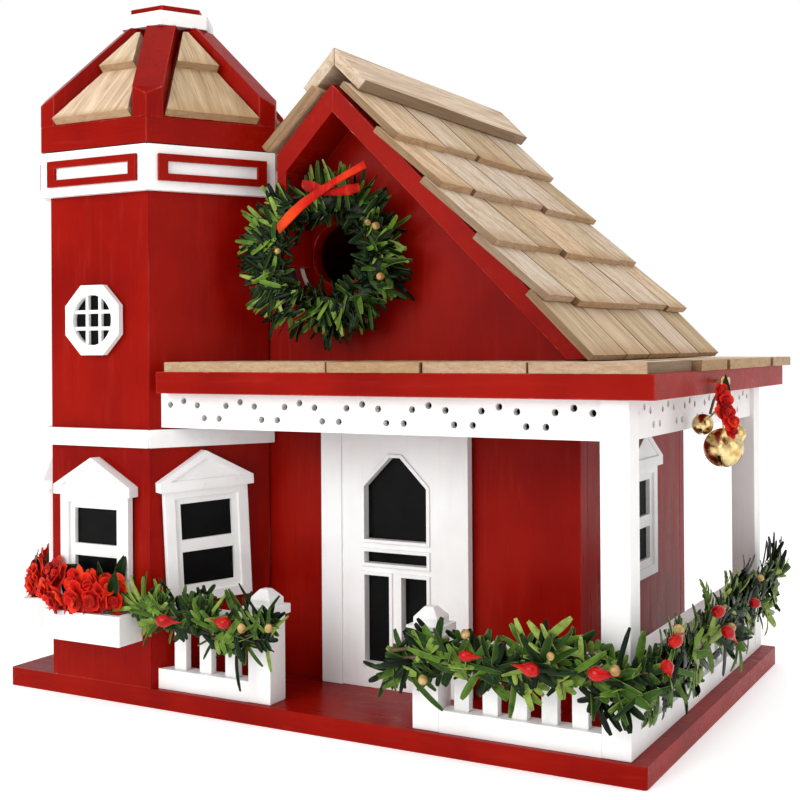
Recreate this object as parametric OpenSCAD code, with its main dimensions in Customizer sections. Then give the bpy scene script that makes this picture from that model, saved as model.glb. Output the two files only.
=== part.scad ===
// Decorative wooden birdhouse: gabled house, hexagonal tower, wrap-around porch and
// winter greenery. Millimetres, +Z up, -Y is the front. The origin is the middle of
// the base board's underside.

/* [Base] */
// Width of the base board
base_w = 318; // [316:1:324]
// Depth of the base board
base_d = 211; // [209:1:215]
// Thickness of the base board
base_t = 8.5; // [7:0.5:12]
// Corner radius of the base board
base_r = 1.5; // [1:0.5:8]

/* [House] */
// Set-back of the front wall from the base's front edge
porch_front = 52.6; // [50:0.2:56]
// Set-back of the right wall from the base's right edge
porch_side = 44.6; // [42:0.2:48]
// Set-back of the back wall from the base's back edge
back_margin = 8; // [6:0.5:10]
// Thickness of every wall board
wall_t = 8; // [6:0.5:9]
// Width over the two side walls
house_w = 214; // [210:1:218]
// Diameter of the entrance hole
entrance_d = 28.6; // [25:0.2:32]
// Height of the entrance hole's centre
entrance_z = 205.5; // [200:0.5:210]
// Offset of the entrance hole from the ridge line
entrance_dx = -10.6; // [-14:0.2:0]

/* [Roof] */
// Height of the top of the roof decks at the ridge
apex_z = 279.3; // [275:0.5:284]
// Thickness of a roof deck board
deck_t = 8.7; // [7:0.1:10]
// Overhang of the decks in front of the gable wall
gable_overhang = 22.6; // [16:0.2:26]
// Thickness of a roof shingle
shingle_t = 3; // [2.5:0.1:3.5]
// Length of shingle hidden under the course above
overlap = 8.5; // [6:0.5:12]
// Thickness of the ridge cap boards
cap_t = 5.4; // [4:0.2:6]

/* [Tower] */
// Side of the hexagonal tower
tower_s = 59.4; // [58:0.2:61]
// Offset of the tower's axis from the left edge of the base
tower_inset = 57.3; // [56:0.1:60]
// Height of the top of the tower walls
tower_top = 255.5; // [252:0.5:258]
// Thickness of the white band plates
band_t = 4; // [3:0.5:5]
// Height of the white band
band_h = 21; // [18:0.5:24]
// Height of the drum under the tower roof
drum_h = 11.5; // [9:0.5:14]
// Height of the tower roof over the drum
spire_h = 51.5; // [46:0.5:56]
// Width of the boards on the tower roof's hips
hip_w = 14; // [10:0.5:16]
// Thickness of the tower shingles
tower_shingle_t = 4; // [3:0.5:5]

/* [Porch] */
// Underside height of the porch roof board
porch_z = 142.4; // [139:0.1:145]
// Thickness of the porch roof board
porch_t = 9.7; // [8:0.1:12]
// Thickness of the shingles on the porch roof
porch_shingle_t = 4.2; // [3:0.1:5]
// Side of the square posts
post_w = 11.6; // [10:0.2:13]
// Height of the white friezes under the porch roof
frieze_h = 15.8; // [13:0.1:18]
// Diameter of the holes in the friezes
lace_hole_d = 2.9; // [2:0.1:3.2]
// Width of the fence pickets
picket_w = 6.5; // [5:0.1:8]

/* [Windows] */
// Width of a window frame
window_w = 41; // [38:1:44]
// Height of a window frame
window_h = 51.5; // [48:0.5:51.5]
// Width of the pediment over a window
pediment_w = 46; // [44:0.2:50]
// Height of the pediment
pediment_h = 17.5; // [14:0.5:20]

/* [Clean-out door] */
// Width of the clean-out opening in the back wall
hatch_w = 72; // [60:1:80]
// Height of the clean-out opening
hatch_h = 62; // [50:1:66]
// Angle that the turn button shows: 0 parked beside the door, 90 across it
button_turn = 0; // [0:5:90]

/* [Bells] */
// Outer diameter of the large jingle bell
bell_d = 16.4; // [14:0.2:16.4]
// Outer diameter of the two small jingle bells
small_bell_d = 9; // [7:0.2:9]

/* [Hidden] */
$fn = 48;

red = [0.60, 0.10, 0.08];
white = [0.96, 0.96, 0.94];
cedar = [0.82, 0.69, 0.50];
black = [0.03, 0.03, 0.03];
leaf = [0.13, 0.27, 0.10];
scarlet = [0.85, 0.12, 0.08];
brass = [0.80, 0.65, 0.25];

eps = 0.02;
// Open glue line at each mitre
seam = 0.05;
root2 = sqrt(2);

// Edges of the base and the planes of the house walls
left_x = -base_w / 2;
right_x = base_w / 2;
front_y = -base_d / 2;
back_y = base_d / 2;
wall_right = right_x - porch_side;
wall_left = wall_right - house_w;
wall_front = front_y + porch_front;
wall_back = back_y - back_margin;
ridge_x = (wall_left + wall_right) / 2;
entrance_x = ridge_x + entrance_dx;

// Porch roof, its posts and its fences
porch_top = porch_z + porch_t;
porch_right = right_x + 5;
porch_lip = 3;
porch_back = back_y - 2.5;
porch_left = -66;
post_inset = 2.7;
post_front = front_y + post_inset;
post_right = right_x - 6.6;
post_back = back_y - 3;
frieze_t = 3.5;
frieze_step = 2.1;
lace_pitch = 31.05;
lace_start = 13;

// Roof
deck_v = deck_t * root2;
deck_front = wall_front - gable_overhang;
deck_back = wall_back + 3;
deck_foot = porch_top + porch_shingle_t + 0.8;
deck_run = apex_z - deck_foot;
cheek_x = ridge_x - 29.6;
cheek_t = 4.8;
// Distance down the slope from the ridge to the butts of each course
butts = [42.3, 75.7, 110.9, 144.6, 173.6];
// How much longer or shorter than its course each shingle is
ragged_steps = [0.9, -0.8, 0.3, -1.1, 1.3];
shingle_lift = shingle_t * (1 + overlap / 32.4) + 0.1;
ridge_lift = 2.6;

// Tower
tower_x = left_x + tower_inset;
tower_y = front_y + tower_s * sqrt(3) / 2;
apothem = tower_s * sqrt(3) / 2;
band_z = tower_top - band_h - 0.5;
drum_a = apothem + band_t;
drum_r = drum_a * 2 / sqrt(3);
drum_top = tower_top + drum_h;
spire_top = drum_top + spire_h;
hip_proud = 10.5;
spire_r = 11.2;
spire_a = spire_r * sqrt(3) / 2;
face_len = sqrt(pow(spire_h, 2) + pow(drum_a - spire_a, 2));
face_tilt = atan(spire_h / (drum_a - spire_a));
face_taper = (drum_r - spire_r) / 2 / face_len;
panel_half = drum_r / 2 - hip_w / 2 / sin(60) - 0.3;
belt_z = 117.5;
belt_h = 8.2;
belt_t = 3;

// Fences
rail_h = 9;
rail_d = 8;
top_rail_z = 40;
top_rail_h = 5.5;
picket_t = 3.6;
newel_h = 38;
newel_cap_w = 15.4;
newel_cap_h = 11;
porch_newel_x = right_x - 98.3;
small_newel_x = -20.3;

// Windows: [face, distance along the face, underside of the pediment, lean]
pane_t = 0.8;
frame_t = 4.2;
tower_windows = [[0, 29.4, 95, 0], [1, 25.6, 98.2, -2.6], [-1, 29.7, 95, 0]];
side_window_y = 18.5;
side_window_z = 105.4;
glass_w = 25.2;
glass_rows = [[-43.6, 15.2], [-22.8, 16.5]];
octagon_z = 175.8;
octagon_w = 32.4;
octagon_hole_d = 23.2;

// Window boxes on two tower faces
box_l = 45.2;
box_d = 16;
box_h = 13.5;
box_z = 29.9;
box_along = 32.2;

// Clean-out door
hatch_gap = 0.8;
hatch_free_gap = 1.4;
hatch_x = ridge_x - hatch_w / 2;
hatch_z = base_t + 11;
pin_r = 0.9;
pin_play = 0.06;
knuckle_r = 2;
pin_x = hatch_x + hatch_gap / 2;
pin_y = wall_back + knuckle_r;
hinge_h = 16;
leaf_t = 0.9;
leaf_w = 9;
hinge_zs = [hatch_z + 6, hatch_z + hatch_h - 6 - hinge_h];
button_x = hatch_x + hatch_w + 9;
button_z = hatch_z + hatch_h / 2;

// Bells: the wire loop hangs on a headed nail in the edge of the porch roof
eye_x = porch_right + 3;
eye_y = -25;
eye_z = porch_z + 5;
nail_r = 0.7;
wire_r = 0.6;
loop_r = 3.6;
loop_z = eye_z + nail_r + 0.05 - (loop_r - wire_r);
knot_z = loop_z - loop_r - 3.5;
bell_wall = 0.6;
// Centre and diameter of each bell
bells = [
    [[eye_x, eye_y, 119.6], bell_d],
    [[eye_x - 9, eye_y + 1, 129], small_bell_d],
    [[eye_x + 2, eye_y + 12, 124.5], small_bell_d]
];
pellet_share = 0.11;

// --- helpers -----------------------------------------------------------------

// A 2-D outline in X and Z, extruded along Y from y0 to y1
module along_y(y0, y1) {
    translate([0, y1, 0]) rotate([90, 0, 0]) linear_extrude(y1 - y0) children();
}

// A 2-D outline in Y and Z, extruded along X from x0 to x1
module along_x(x0, x1) {
    translate([x0, 0, 0]) rotate([90, 0, 90]) linear_extrude(x1 - x0) children();
}

// A box between two corners
module block(a, b) {
    translate(a) cube(b - a);
}

// A vertical hexagonal prism on the tower's axis, with flats to the front and back
module hex_prism(r, z0, z1) {
    translate([tower_x, tower_y, z0]) cylinder(r = r, h = z1 - z0, $fn = 6);
}

// Children on tower face i: X along the face, -Y outwards, Z up; 0 is the front face
module tower_face(i) {
    translate([tower_x, tower_y, 0]) rotate([0, 0, 60 * i])
        translate([-tower_s / 2, -apothem, 0]) children();
}

// Children on a roof slope: X down the slope, Y back, Z out of the roof
module slope(side) {
    translate([ridge_x, 0, apex_z]) mirror([side < 0 ? 1 : 0, 0, 0])
        rotate([0, 45, 0]) children();
}

// A straight round rod between two points
module rod(p, q, r) {
    d = q - p;
    flat = norm([d[0], d[1]]);
    translate(p) rotate([0, atan2(flat, d[2]), atan2(d[1], d[0])])
        cylinder(r = r, h = norm(d), $fn = 24);
}

// A ring of round wire about the local Z axis
module wire_ring(r, wire) {
    rotate_extrude() translate([r, 0]) circle(r = wire, $fn = 24);
}

// Outline of the space inside the walls and under the decks
module gable_outline(x0, x1) {
    intersection() {
        polygon([
            [x0, base_t], [x1, base_t], [x1, apex_z],
            [x0, apex_z]
        ]);
        polygon([
            [ridge_x, apex_z - deck_v],
            [ridge_x + 300, apex_z - deck_v - 300],
            [ridge_x - 300, apex_z - deck_v - 300]
        ]);
    }
}

// --- base and walls ------------------------------------------------------------

module base_board() {
    color(red) linear_extrude(base_t) union() {
        square([base_w - 2 * base_r, base_d], center = true);
        square([base_w, base_d - 2 * base_r], center = true);
        for (x = [-1, 1], y = [-1, 1])
            translate([x * (base_w / 2 - base_r), y * (base_d / 2 - base_r)]) circle(r = base_r);
    }
}

// Countersunk screws that hold the walls down on the base
module base_screws() {
    places = [
        [wall_right - wall_t / 2, -10], [wall_right - wall_t / 2, 60],
        [wall_left + wall_t / 2, 25], [wall_left + wall_t / 2, 75],
        [-60, wall_back - wall_t / 2], [60, wall_back - wall_t / 2]
    ];
    color(brass) for (p = places) translate([p[0], p[1], 0]) {
        cylinder(r1 = 3, r2 = 1.3, h = 1.7, $fn = 24);
        translate([0, 0, 1.6]) cylinder(r = 1.3, h = 18, $fn = 24);
    }
}

module front_wall() {
    color(red) difference() {
        along_y(wall_front, wall_front + wall_t) gable_outline(-60, wall_right);
        hex_prism(tower_s, 0, apex_z);
        translate([entrance_x, wall_front - 1, entrance_z])
            rotate([-90, 0, 0]) cylinder(d = entrance_d, h = wall_t + 2, $fn = 64);
    }
}

module back_wall() {
    color(red) difference() {
        along_y(wall_back - wall_t, wall_back) gable_outline(wall_left, wall_right);
        block([hatch_x, wall_back - wall_t - 1, hatch_z],
              [hatch_x + hatch_w, wall_back + 1, hatch_z + hatch_h]);
    }
}

module right_wall() {
    color(red) along_y(wall_front + wall_t, wall_back - wall_t)
        gable_outline(wall_right - wall_t, wall_right);
}

module left_wall() {
    color(red) along_y(tower_y + apothem, wall_back - wall_t)
        gable_outline(wall_left, wall_left + wall_t);
}

// Six mitred boards
module tower_walls() {
    mitre = wall_t * tan(30);
    color(red) for (i = [0:5]) tower_face(i)
        translate([0, 0, base_t]) linear_extrude(tower_top - base_t)
            polygon([
                [seam, 0], [tower_s - seam, 0],
                [tower_s - mitre - seam, wall_t], [mitre + seam, wall_t]
            ]);
}

// --- tower trim and roof -------------------------------------------------------

// Strips mitred round the tower: thickness t, from z0, height h, on the given faces
module tower_strips(faces, t, z0, h) {
    grow = t * tan(30);
    for (i = faces) tower_face(i) translate([0, 0, z0]) linear_extrude(h)
        polygon([
            [seam - grow, -t], [tower_s + grow - seam, -t], [tower_s - seam, 0], [seam, 0]
        ]);
}

// The roof meets the tower's two rear faces, so the trim is left off them
module tower_band() {
    color(white) tower_strips([-2, -1, 0, 1], band_t, band_z, band_h);
}

module tower_band_frames() {
    outer = [53.6, 12.2];
    inner = [44.4, 5.6];
    color(red) for (i = [-2, -1, 0, 1]) tower_face(i)
        translate([tower_s / 2, 0, band_z + band_h / 2]) along_y(-band_t - 1.6, -band_t)
            difference() {
                square(outer, center = true);
                square(inner, center = true);
            }
}

module tower_belt() {
    color(white) tower_strips([-2, -1, 0, 1], belt_t, belt_z, belt_h);
}

module tower_drum() {
    color(red) hex_prism(drum_r, tower_top, drum_top);
}

module spire_shape(grow = 0) {
    translate([tower_x, tower_y, drum_top])
        cylinder(r1 = drum_r + grow, r2 = spire_r + grow, h = spire_h, $fn = 6);
}

module tower_roof_core() {
    color(red) spire_shape();
}

// One board over a hip, cut plumb at the foot and level under the cap
module hip_board() {
    steep = spire_h / (drum_r - spire_r);
    out = drum_r + 2;
    translate([tower_x, tower_y, 0]) along_y(-hip_w / 2, hip_w / 2) polygon([
        [drum_r - 12, drum_top + eps], [out, drum_top + eps],
        [out, drum_top + hip_proud - 2 * steep],
        [spire_r + hip_proud / steep, spire_top], [spire_r - 4, spire_top]
    ]);
}

module tower_hip_boards() {
    core_r = hip_w / cos(30) + 0.4;
    color(red) for (i = [0:5]) difference() {
        intersection() {
            translate([tower_x, tower_y, 0]) rotate([0, 0, 60 * i])
                translate([-tower_x, -tower_y, 0]) hip_board();
            hex_prism(drum_r, drum_top - 1, spire_top + 1);
        }
        spire_shape(0.04);
        hex_prism(core_r, drum_top - 1, spire_top + 1);
    }
}

// A shingle on one face of the tower roof, from v0 up to v1, lifted off the face
module spire_shingle(i, v0, v1, lift) {
    half0 = panel_half - face_taper * v0;
    half1 = max(panel_half - face_taper * v1, 0.6);
    tower_face(i) translate([tower_s / 2, -band_t, drum_top]) rotate([face_tilt, 0, 0])
        translate([0, 0, lift]) linear_extrude(tower_shingle_t)
            polygon([[-half0, v0], [half0, v0], [half1, v1], [-half1, v1]]);
}

module tower_shingles_lower() {
    color(cedar) for (i = [0:5]) spire_shingle(i, 1.2, 37, eps);
}

module tower_shingles_upper() {
    color(cedar) for (i = [0:5]) spire_shingle(i, 33.5, 58, tower_shingle_t + 2 * eps);
}

module tower_cap_ring() {
    color(white) hex_prism(24, spire_top, spire_top + 7);
}

module tower_cap_top() {
    color(red) hex_prism(19.4, spire_top + 7, spire_top + 10.5);
}

// --- main roof ---------------------------------------------------------------

// One deck board in section: plumb at the ridge, level at the foot
module deck_outline() {
    polygon([
        [0, 0], [deck_run, -deck_run], [deck_run - deck_v, -deck_run], [0, -deck_v]
    ]);
}

module roof_deck_right() {
    color(red) translate([ridge_x, 0, apex_z]) along_y(deck_front, deck_back) deck_outline();
}

// The left deck stops short of the tower; grow moves that edge away from the roof
module left_roof_plan(front, back, reach, notch) {
    linear_extrude(400) difference() {
        translate([ridge_x - deck_run - 20, front]) square([deck_run + 20, back - front]);
        translate([ridge_x - deck_run - 21, front - 1])
            square([deck_run + 21 - reach, wall_front - front + 1]);
        translate([tower_x, tower_y]) circle(r = tower_s + notch, $fn = 6);
        translate([tower_x - 100, front - 1])
            square([100, tower_y + apothem + notch - front + 1]);
    }
}

module roof_deck_left() {
    color(red) intersection() {
        translate([ridge_x, 0, apex_z]) mirror([1, 0, 0])
            along_y(deck_front, deck_back) deck_outline();
        left_roof_plan(deck_front, deck_back, ridge_x - cheek_x, 0.3);
    }
}

// Outline of the gable cheek, grown by g on its two sides and its foot
module cheek_outline(g) {
    top = apex_z - deck_v - (ridge_x - cheek_x) - eps;
    polygon([
        [cheek_x - g, top - 38 - g], [cheek_x + cheek_t + g, top - 38 - g],
        [cheek_x + cheek_t + g, top + cheek_t + g], [cheek_x - g, top - g]
    ]);
}

// A short upright board that closes the gable's recess beside the tower
module gable_cheek() {
    color(red) along_y(deck_front, wall_front) cheek_outline(0);
}

module ridge_caps() {
    top = 11.8 * root2;
    reach = 16.5;
    edge = cap_t / root2;
    outline = [
        [0.03, top], [reach, top - reach], [reach - edge, top - reach - edge],
        [0.03, top - cap_t * root2]
    ];
    color(cedar) for (side = [0, 1]) translate([ridge_x, 0, apex_z]) mirror([side, 0, 0])
        along_y(deck_front + 2, deck_back + 5.5) polygon(outline);
}

// Widths of the shingles in a course, as shares of its length
course_shares = [
    [0.26, 0.20, 0.30, 0.24],
    [0.17, 0.24, 0.20, 0.22, 0.17],
    [0.25, 0.17, 0.21, 0.20, 0.17],
    [0.16, 0.25, 0.18, 0.24, 0.17],
    [0.22, 0.17, 0.24, 0.18, 0.19]
];
course_fronts = [-4, -6, -8, -9, -10];
course_backs = [2, 1, -3, 5, 0];
function share_sum(list, n) = n == 0 ? 0 : list[n - 1] + share_sum(list, n - 1);

// One course on one slope: side is 1 on the right, -1 on the left
module shingle_row(course, side) {
    shares = course_shares[course];
    y0 = deck_front + course_fronts[course];
    y1 = deck_back + course_backs[course];
    butt = butts[course];
    upper = course == 0 ? butt - 6 : butt - butts[course - 1] + overlap;
    last = course == len(butts) - 1;
    lift = last ? 0 : shingle_lift;
    tilt = last ? 0 : atan((lift - (course == 0 ? ridge_lift : 0)) / upper);
    for (k = [0:len(shares) - 1]) {
        a = y0 + (y1 - y0) * share_sum(shares, k) + 0.3;
        b = y0 + (y1 - y0) * share_sum(shares, k + 1) - 0.3;
        longer = last ? 0 : ragged_steps[(k + course) % len(ragged_steps)];
        slope(side) translate([butt, 0, lift + eps]) rotate([0, -tilt, 0])
            translate([-upper, a, 0]) cube([upper + longer, b - a, shingle_t]);
    }
}

// Courses are counted from the ridge down; the left rows are cut round the tower
module shingle_course(course) {
    gap = 0.6 + course * 0.1;
    color(cedar) {
        shingle_row(course, 1);
        if (course == 0) shingle_row(course, -1);
        else intersection() {
            shingle_row(course, -1);
            left_roof_plan(deck_front - 12, deck_back + 8, 0, gap);
        }
    }
}

// --- porch ---------------------------------------------------------------------

// Plan of the L-shaped porch roof, with lip past its front and right edges
module porch_plan() {
    difference() {
        translate([porch_left, front_y - porch_lip])
            square([porch_right - porch_left, porch_back - front_y + porch_lip]);
        translate([porch_left - 1, wall_front])
            square([wall_right - porch_left + 1, base_d]);
        translate([tower_x, tower_y]) circle(r = tower_s + 0.15, $fn = 6);
    }
}

module porch_roof() {
    color(red) translate([0, 0, porch_z]) linear_extrude(porch_t) porch_plan();
}

// Loose-laid strips along the front, then along the right side
module porch_shingles() {
    front_cuts = [-61.7, 24.2, 68.7, 114.4, 162.2];
    side_cuts = [wall_front + 0.3, -12, 26, 70, porch_back + 6];
    color(cedar) translate([0, 0, porch_top]) linear_extrude(porch_shingle_t) {
        difference() {
            for (k = [0:3]) translate([front_cuts[k] + 0.3, front_y - porch_lip - (k % 2) * 0.8])
                square([front_cuts[k + 1] - front_cuts[k] - 0.6,
                        porch_front + porch_lip + (k % 2) * 0.8]);
            translate([tower_x, tower_y]) circle(r = tower_s + 0.3, $fn = 6);
        }
        for (k = [0:3]) translate([wall_right + 0.3, side_cuts[k] + 0.3])
            square([porch_right + 1.5 + (k % 2) - wall_right, side_cuts[k + 1] - side_cuts[k] - 0.6]);
    }
}

// A board with the pierced pattern, length l along X and up from z = 0, pattern from x = s
module lace_board(l, s) {
    dips = [[0, 12.2], [-7.6, 10.4], [7.6, 10.4], [lace_pitch / 2 - 4.1, 4.7],
            [lace_pitch / 2 + 4.1, 4.7]];
    count = floor((l - s - 8) / lace_pitch);
    difference() {
        cube([l, frieze_t, frieze_h]);
        for (k = [0:count], p = dips) {
            x = s + k * lace_pitch + p[0];
            if (x < l - 3) translate([x, -1, p[1]]) rotate([-90, 0, 0])
                cylinder(d = lace_hole_d, h = frieze_t + 2, $fn = 20);
        }
    }
}

module frieze_front() {
    start = tower_x + tower_s / 2 + 2.6;
    color(white) difference() {
        translate([start, post_front + frieze_step, porch_z - frieze_h])
            lace_board(post_right - post_w - start, lace_start);
        hex_prism(tower_s, 0, apex_z);
    }
}

module frieze_side() {
    span = post_back - post_w - (post_front + post_w);
    color(white) translate([post_right - frieze_step, post_front + post_w, porch_z - frieze_h])
        rotate([0, 0, 90]) lace_board(span, lace_start);
}

module porch_posts() {
    color(white) for (y = [post_front, post_back - post_w])
        block([post_right - post_w, y, base_t], [post_right, y + post_w, porch_z]);
}

module fence_newels() {
    color(white) for (x = [porch_newel_x, small_newel_x])
        block([x, post_front, base_t], [x + post_w, post_front + post_w, base_t + newel_h]);
}

// A square cap: a flat collar, a narrower block and a low pyramid
module newel_caps() {
    color(white) for (x = [porch_newel_x, small_newel_x])
        translate([x + post_w / 2, post_front + post_w / 2, base_t + newel_h]) {
            translate([0, 0, 2]) cube([newel_cap_w, newel_cap_w, 4], center = true);
            translate([0, 0, 5.5]) cube([11, 11, 3], center = true);
            translate([0, 0, 7]) rotate([0, 0, 45])
                cylinder(r1 = 11 / root2, r2 = 4 / root2, h = newel_cap_h - 7, $fn = 4);
        }
}

// Where each fence runs: [start, length, number of pickets, turned to the right side]
porch_run = [porch_newel_x + post_w, post_right - post_w - porch_newel_x - post_w, 5, false];
small_run = [tower_x + tower_s / 2 + 1.8,
             small_newel_x - tower_x - tower_s / 2 - 1.8, 3, false];
side_run = [post_front + post_w, post_back - post_front - 2 * post_w, 14, true];
fence_runs = [porch_run, small_run, side_run];

// Children along a fence run: X along it, Y inwards from its outer face
module on_run(run) {
    if (run[3]) translate([post_right - 0.2, run[0], 0]) rotate([0, 0, 90]) children();
    else translate([run[0], post_front + 0.2, 0]) children();
}

module fence_rails() {
    color(white) for (run = fence_runs) difference() {
        on_run(run) {
            block([0, 0, base_t], [run[1], rail_d, base_t + rail_h]);
            block([0, 0, top_rail_z], [run[1], rail_d, top_rail_z + top_rail_h]);
        }
        hex_prism(tower_s, 0, apex_z);
    }
}

module fence_pickets() {
    color(white) for (run = fence_runs) {
        gap = (run[1] - run[2] * picket_w) / (run[2] + 1);
        for (k = [0:run[2] - 1]) on_run(run)
            translate([gap + k * (gap + picket_w), (rail_d - picket_t) / 2, base_t + rail_h])
                cube([picket_w, picket_t, top_rail_z - base_t - rail_h]);
    }
}

// --- door and windows ----------------------------------------------------------

door_x = right_x - 169.6;
door_w = 75.1;
door_h = 126.5;
door_t = 4.3;
light_x = 22.8;
light_w = 31.8;

casing_w = 10.8;
bead_w = 1.5;

// Glazed openings of the door, from its lower left corner, grown by g on every side
module door_lights(g = 0) {
    mid = light_w / 2;
    translate([light_x, 0]) {
        polygon([
            [-g, 67.1 - g], [light_w + g, 67.1 - g], [light_w + g, 91 + g / 2],
            [mid + 2.7 + g / 2, 104.3 + g], [mid - 2.7 - g / 2, 104.3 + g], [-g, 91 + g / 2]
        ]);
        translate([-g, 56.4 - g]) square([light_w + 2 * g, 5.2 + 2 * g]);
        for (x = [0, mid + 3.1]) translate([x - g, 11.4 - g])
            square([mid - 3.1 + 2 * g, 39.6 + 2 * g]);
    }
}

// The door with its two casing strips, and a bead round each opening
module door_panel() {
    color(white) translate([door_x, 0, base_t]) {
        along_y(wall_front - door_t, wall_front - pane_t) difference() {
            square([door_w, door_h]);
            door_lights();
        }
        along_y(wall_front - door_t - 0.9, wall_front - door_t + eps) {
            for (x = [0, door_w - casing_w]) translate([x, 0]) square([casing_w, door_h]);
            difference() {
                door_lights(bead_w);
                door_lights();
            }
        }
    }
}

// Children at a window's place: X along the wall from its middle, Z up from the pediment
module at_windows() {
    for (w = tower_windows) tower_face(w[0])
        translate([w[1], 0, w[2]]) rotate([0, w[3], 0]) children();
    translate([wall_right, side_window_y, side_window_z]) rotate([0, 0, 90]) children();
}

module window_frames() {
    color(white) at_windows() {
        along_y(-frame_t, -pane_t) difference() {
            translate([-window_w / 2, -window_h]) square([window_w, window_h]);
            translate([-window_w / 2 + 5, -window_h + 4.5]) square([window_w - 10, window_h - 8]);
        }
        along_y(-frame_t + 1.4, -pane_t) difference() {
            translate([-window_w / 2 + 5, -window_h + 4.5]) square([window_w - 10, window_h - 8]);
            for (row = glass_rows) translate([-glass_w / 2, row[0]]) square([glass_w, row[1]]);
        }
    }
}

module window_pediments() {
    tip = 4.4;
    half = pediment_w / 2;
    color(white) at_windows() difference() {
        along_y(-6.2, 0) polygon([
            [-half, 0], [half, 0], [half, tip], [0, pediment_h], [-half, tip]
        ]);
        along_y(-7, -5.2) polygon([
            [5.4 - half, tip + 0.2], [half - 5.4, tip + 0.2], [0, pediment_h - 3.4]
        ]);
    }
}

// Black film behind the holes of the two friezes
module lace_backing() {
    low = porch_z - frieze_h + 1;
    y = post_front + frieze_step + frieze_t;
    x = post_right - frieze_step - frieze_t;
    difference() {
        block([tower_x + tower_s / 2, y, low], [post_right - post_w - 1, y + 0.4, porch_z - 0.5]);
        hex_prism(tower_s + 0.5, 0, apex_z);
    }
    block([x - 0.4, post_front + post_w + 1, low], [x, post_back - post_w - 1, porch_z - 0.5]);
}

module black_panes() {
    color(black) {
        at_windows() along_y(-pane_t, 0)
            translate([-window_w / 2, -window_h]) square([window_w, window_h]);
        tower_face(0) translate([tower_s / 2 - 1.2, 0, octagon_z]) along_y(-pane_t, 0)
            circle(d = octagon_hole_d + 3);
        translate([door_x, 0, base_t]) along_y(wall_front - pane_t, wall_front)
            square([door_w, door_h]);
        lace_backing();
    }
}

module octagon_window() {
    across = octagon_w / cos(22.5);
    bar = 1.7;
    color(white) tower_face(0) translate([tower_s / 2 - 1.2, 0, octagon_z]) {
        along_y(-3.8, -pane_t) difference() {
            rotate(22.5) circle(d = across, $fn = 8);
            circle(d = octagon_hole_d);
        }
        along_y(-2.6, -pane_t) intersection() {
            circle(d = octagon_hole_d + 0.5);
            for (s = [-1, 1]) {
                translate([s * octagon_hole_d / 6, 0]) square([bar, 30], center = true);
                translate([0, s * octagon_hole_d / 6]) square([30, bar], center = true);
            }
        }
    }
}

// Two small planters, milled with a groove for the flowers' stems
module window_boxes() {
    color(white) for (i = [-1, 0]) tower_face(i) difference() {
        block([box_along - box_l / 2, -box_d, box_z],
              [box_along + box_l / 2, 0, box_z + box_h]);
        block([box_along - box_l / 2 + 3, -box_d + 3, box_z + box_h - 5],
              [box_along + box_l / 2 - 3, -3, box_z + box_h + 1]);
    }
}

// --- greenery --------------------------------------------------------------------

module box_flowers() {
    r = 9;
    color(scarlet) for (i = [-1, 0]) tower_face(i) {
        block([box_along - box_l / 2 + 3.2, -box_d + 3.2, box_z + box_h - 5],
              [box_along + box_l / 2 - 3.2, -frame_t - 0.6, box_z + box_h + 6]);
        along_x(box_along - box_l / 2 + 1, box_along + box_l / 2 - 1)
            for (z = [0, 8]) translate([-frame_t - r - 2.5, box_z + box_h + r + 0.4 + z])
                circle(r = r, $fn = 32);
    }
}

garland_r = 7.5;
garland_z = 41;
garland_rise = 7.5;

// Section of a garland: two round lobes and the flat between them, centred on x
module garland_section(x) {
    translate([x, garland_z - garland_rise]) circle(r = garland_r, $fn = 32);
    translate([x, garland_z + garland_rise]) circle(r = garland_r, $fn = 32);
    translate([x - garland_r, garland_z - garland_rise])
        square([2 * garland_r, 2 * garland_rise]);
}

// Room for the newels' caps, which a garland is pressed round
module cap_space() {
    reach = newel_cap_w / 2 + 0.3;
    for (x = [porch_newel_x, small_newel_x])
        translate([x + post_w / 2, post_front + post_w / 2, base_t + newel_h - 0.3])
            block([-reach, -reach, 0], [reach, reach, 30]);
}

// Along the porch fence, round the corner post and along the side fence
module garland_porch() {
    off = garland_r + 0.3;
    color(leaf) difference() {
        garland_run(off);
        cap_space();
    }
}

module garland_run(off) {
    union() {
        along_x(porch_newel_x - 8, post_right) garland_section(post_front - off);
        translate([post_right, post_front, 0]) rotate([0, 0, -90]) rotate_extrude(angle = 90)
            garland_section(off);
        along_y(post_front, post_back - 4) garland_section(post_right + off);
    }
}

module garland_small() {
    color(leaf) difference() {
        along_x(-74.5, small_newel_x + post_w + 9)
            garland_section(post_front - garland_r - 0.3);
        cap_space();
        hex_prism(tower_s + 6, 0, 100);
    }
}

wreath_r = 29;
wreath_tube = 11;
wreath_y = wall_front - wreath_tube - 0.2;

// A ring of foliage, pressed round the gable cheek
module wreath() {
    color(leaf) difference() {
        translate([entrance_x + 2.5, wreath_y, entrance_z - 1.5]) rotate([90, 0, 0])
            rotate_extrude($fn = 64) translate([wreath_r, 0])
                circle(r = wreath_tube, $fn = 32);
        along_y(deck_front - 0.3, wall_front) cheek_outline(0.3);
    }
}

// Two crossed ribbon tails over the top of the wreath
module wreath_bow() {
    y = min(wreath_y - wreath_tube, deck_front) - 0.3;
    color(scarlet) translate([entrance_x + 2, 0, entrance_z + 27]) {
        along_y(y - 2, y) rotate(34) square([44, 6], center = true);
        along_y(y - 2, y) rotate(-8) square([28, 6], center = true);
    }
}

// --- bells -------------------------------------------------------------------------

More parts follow.
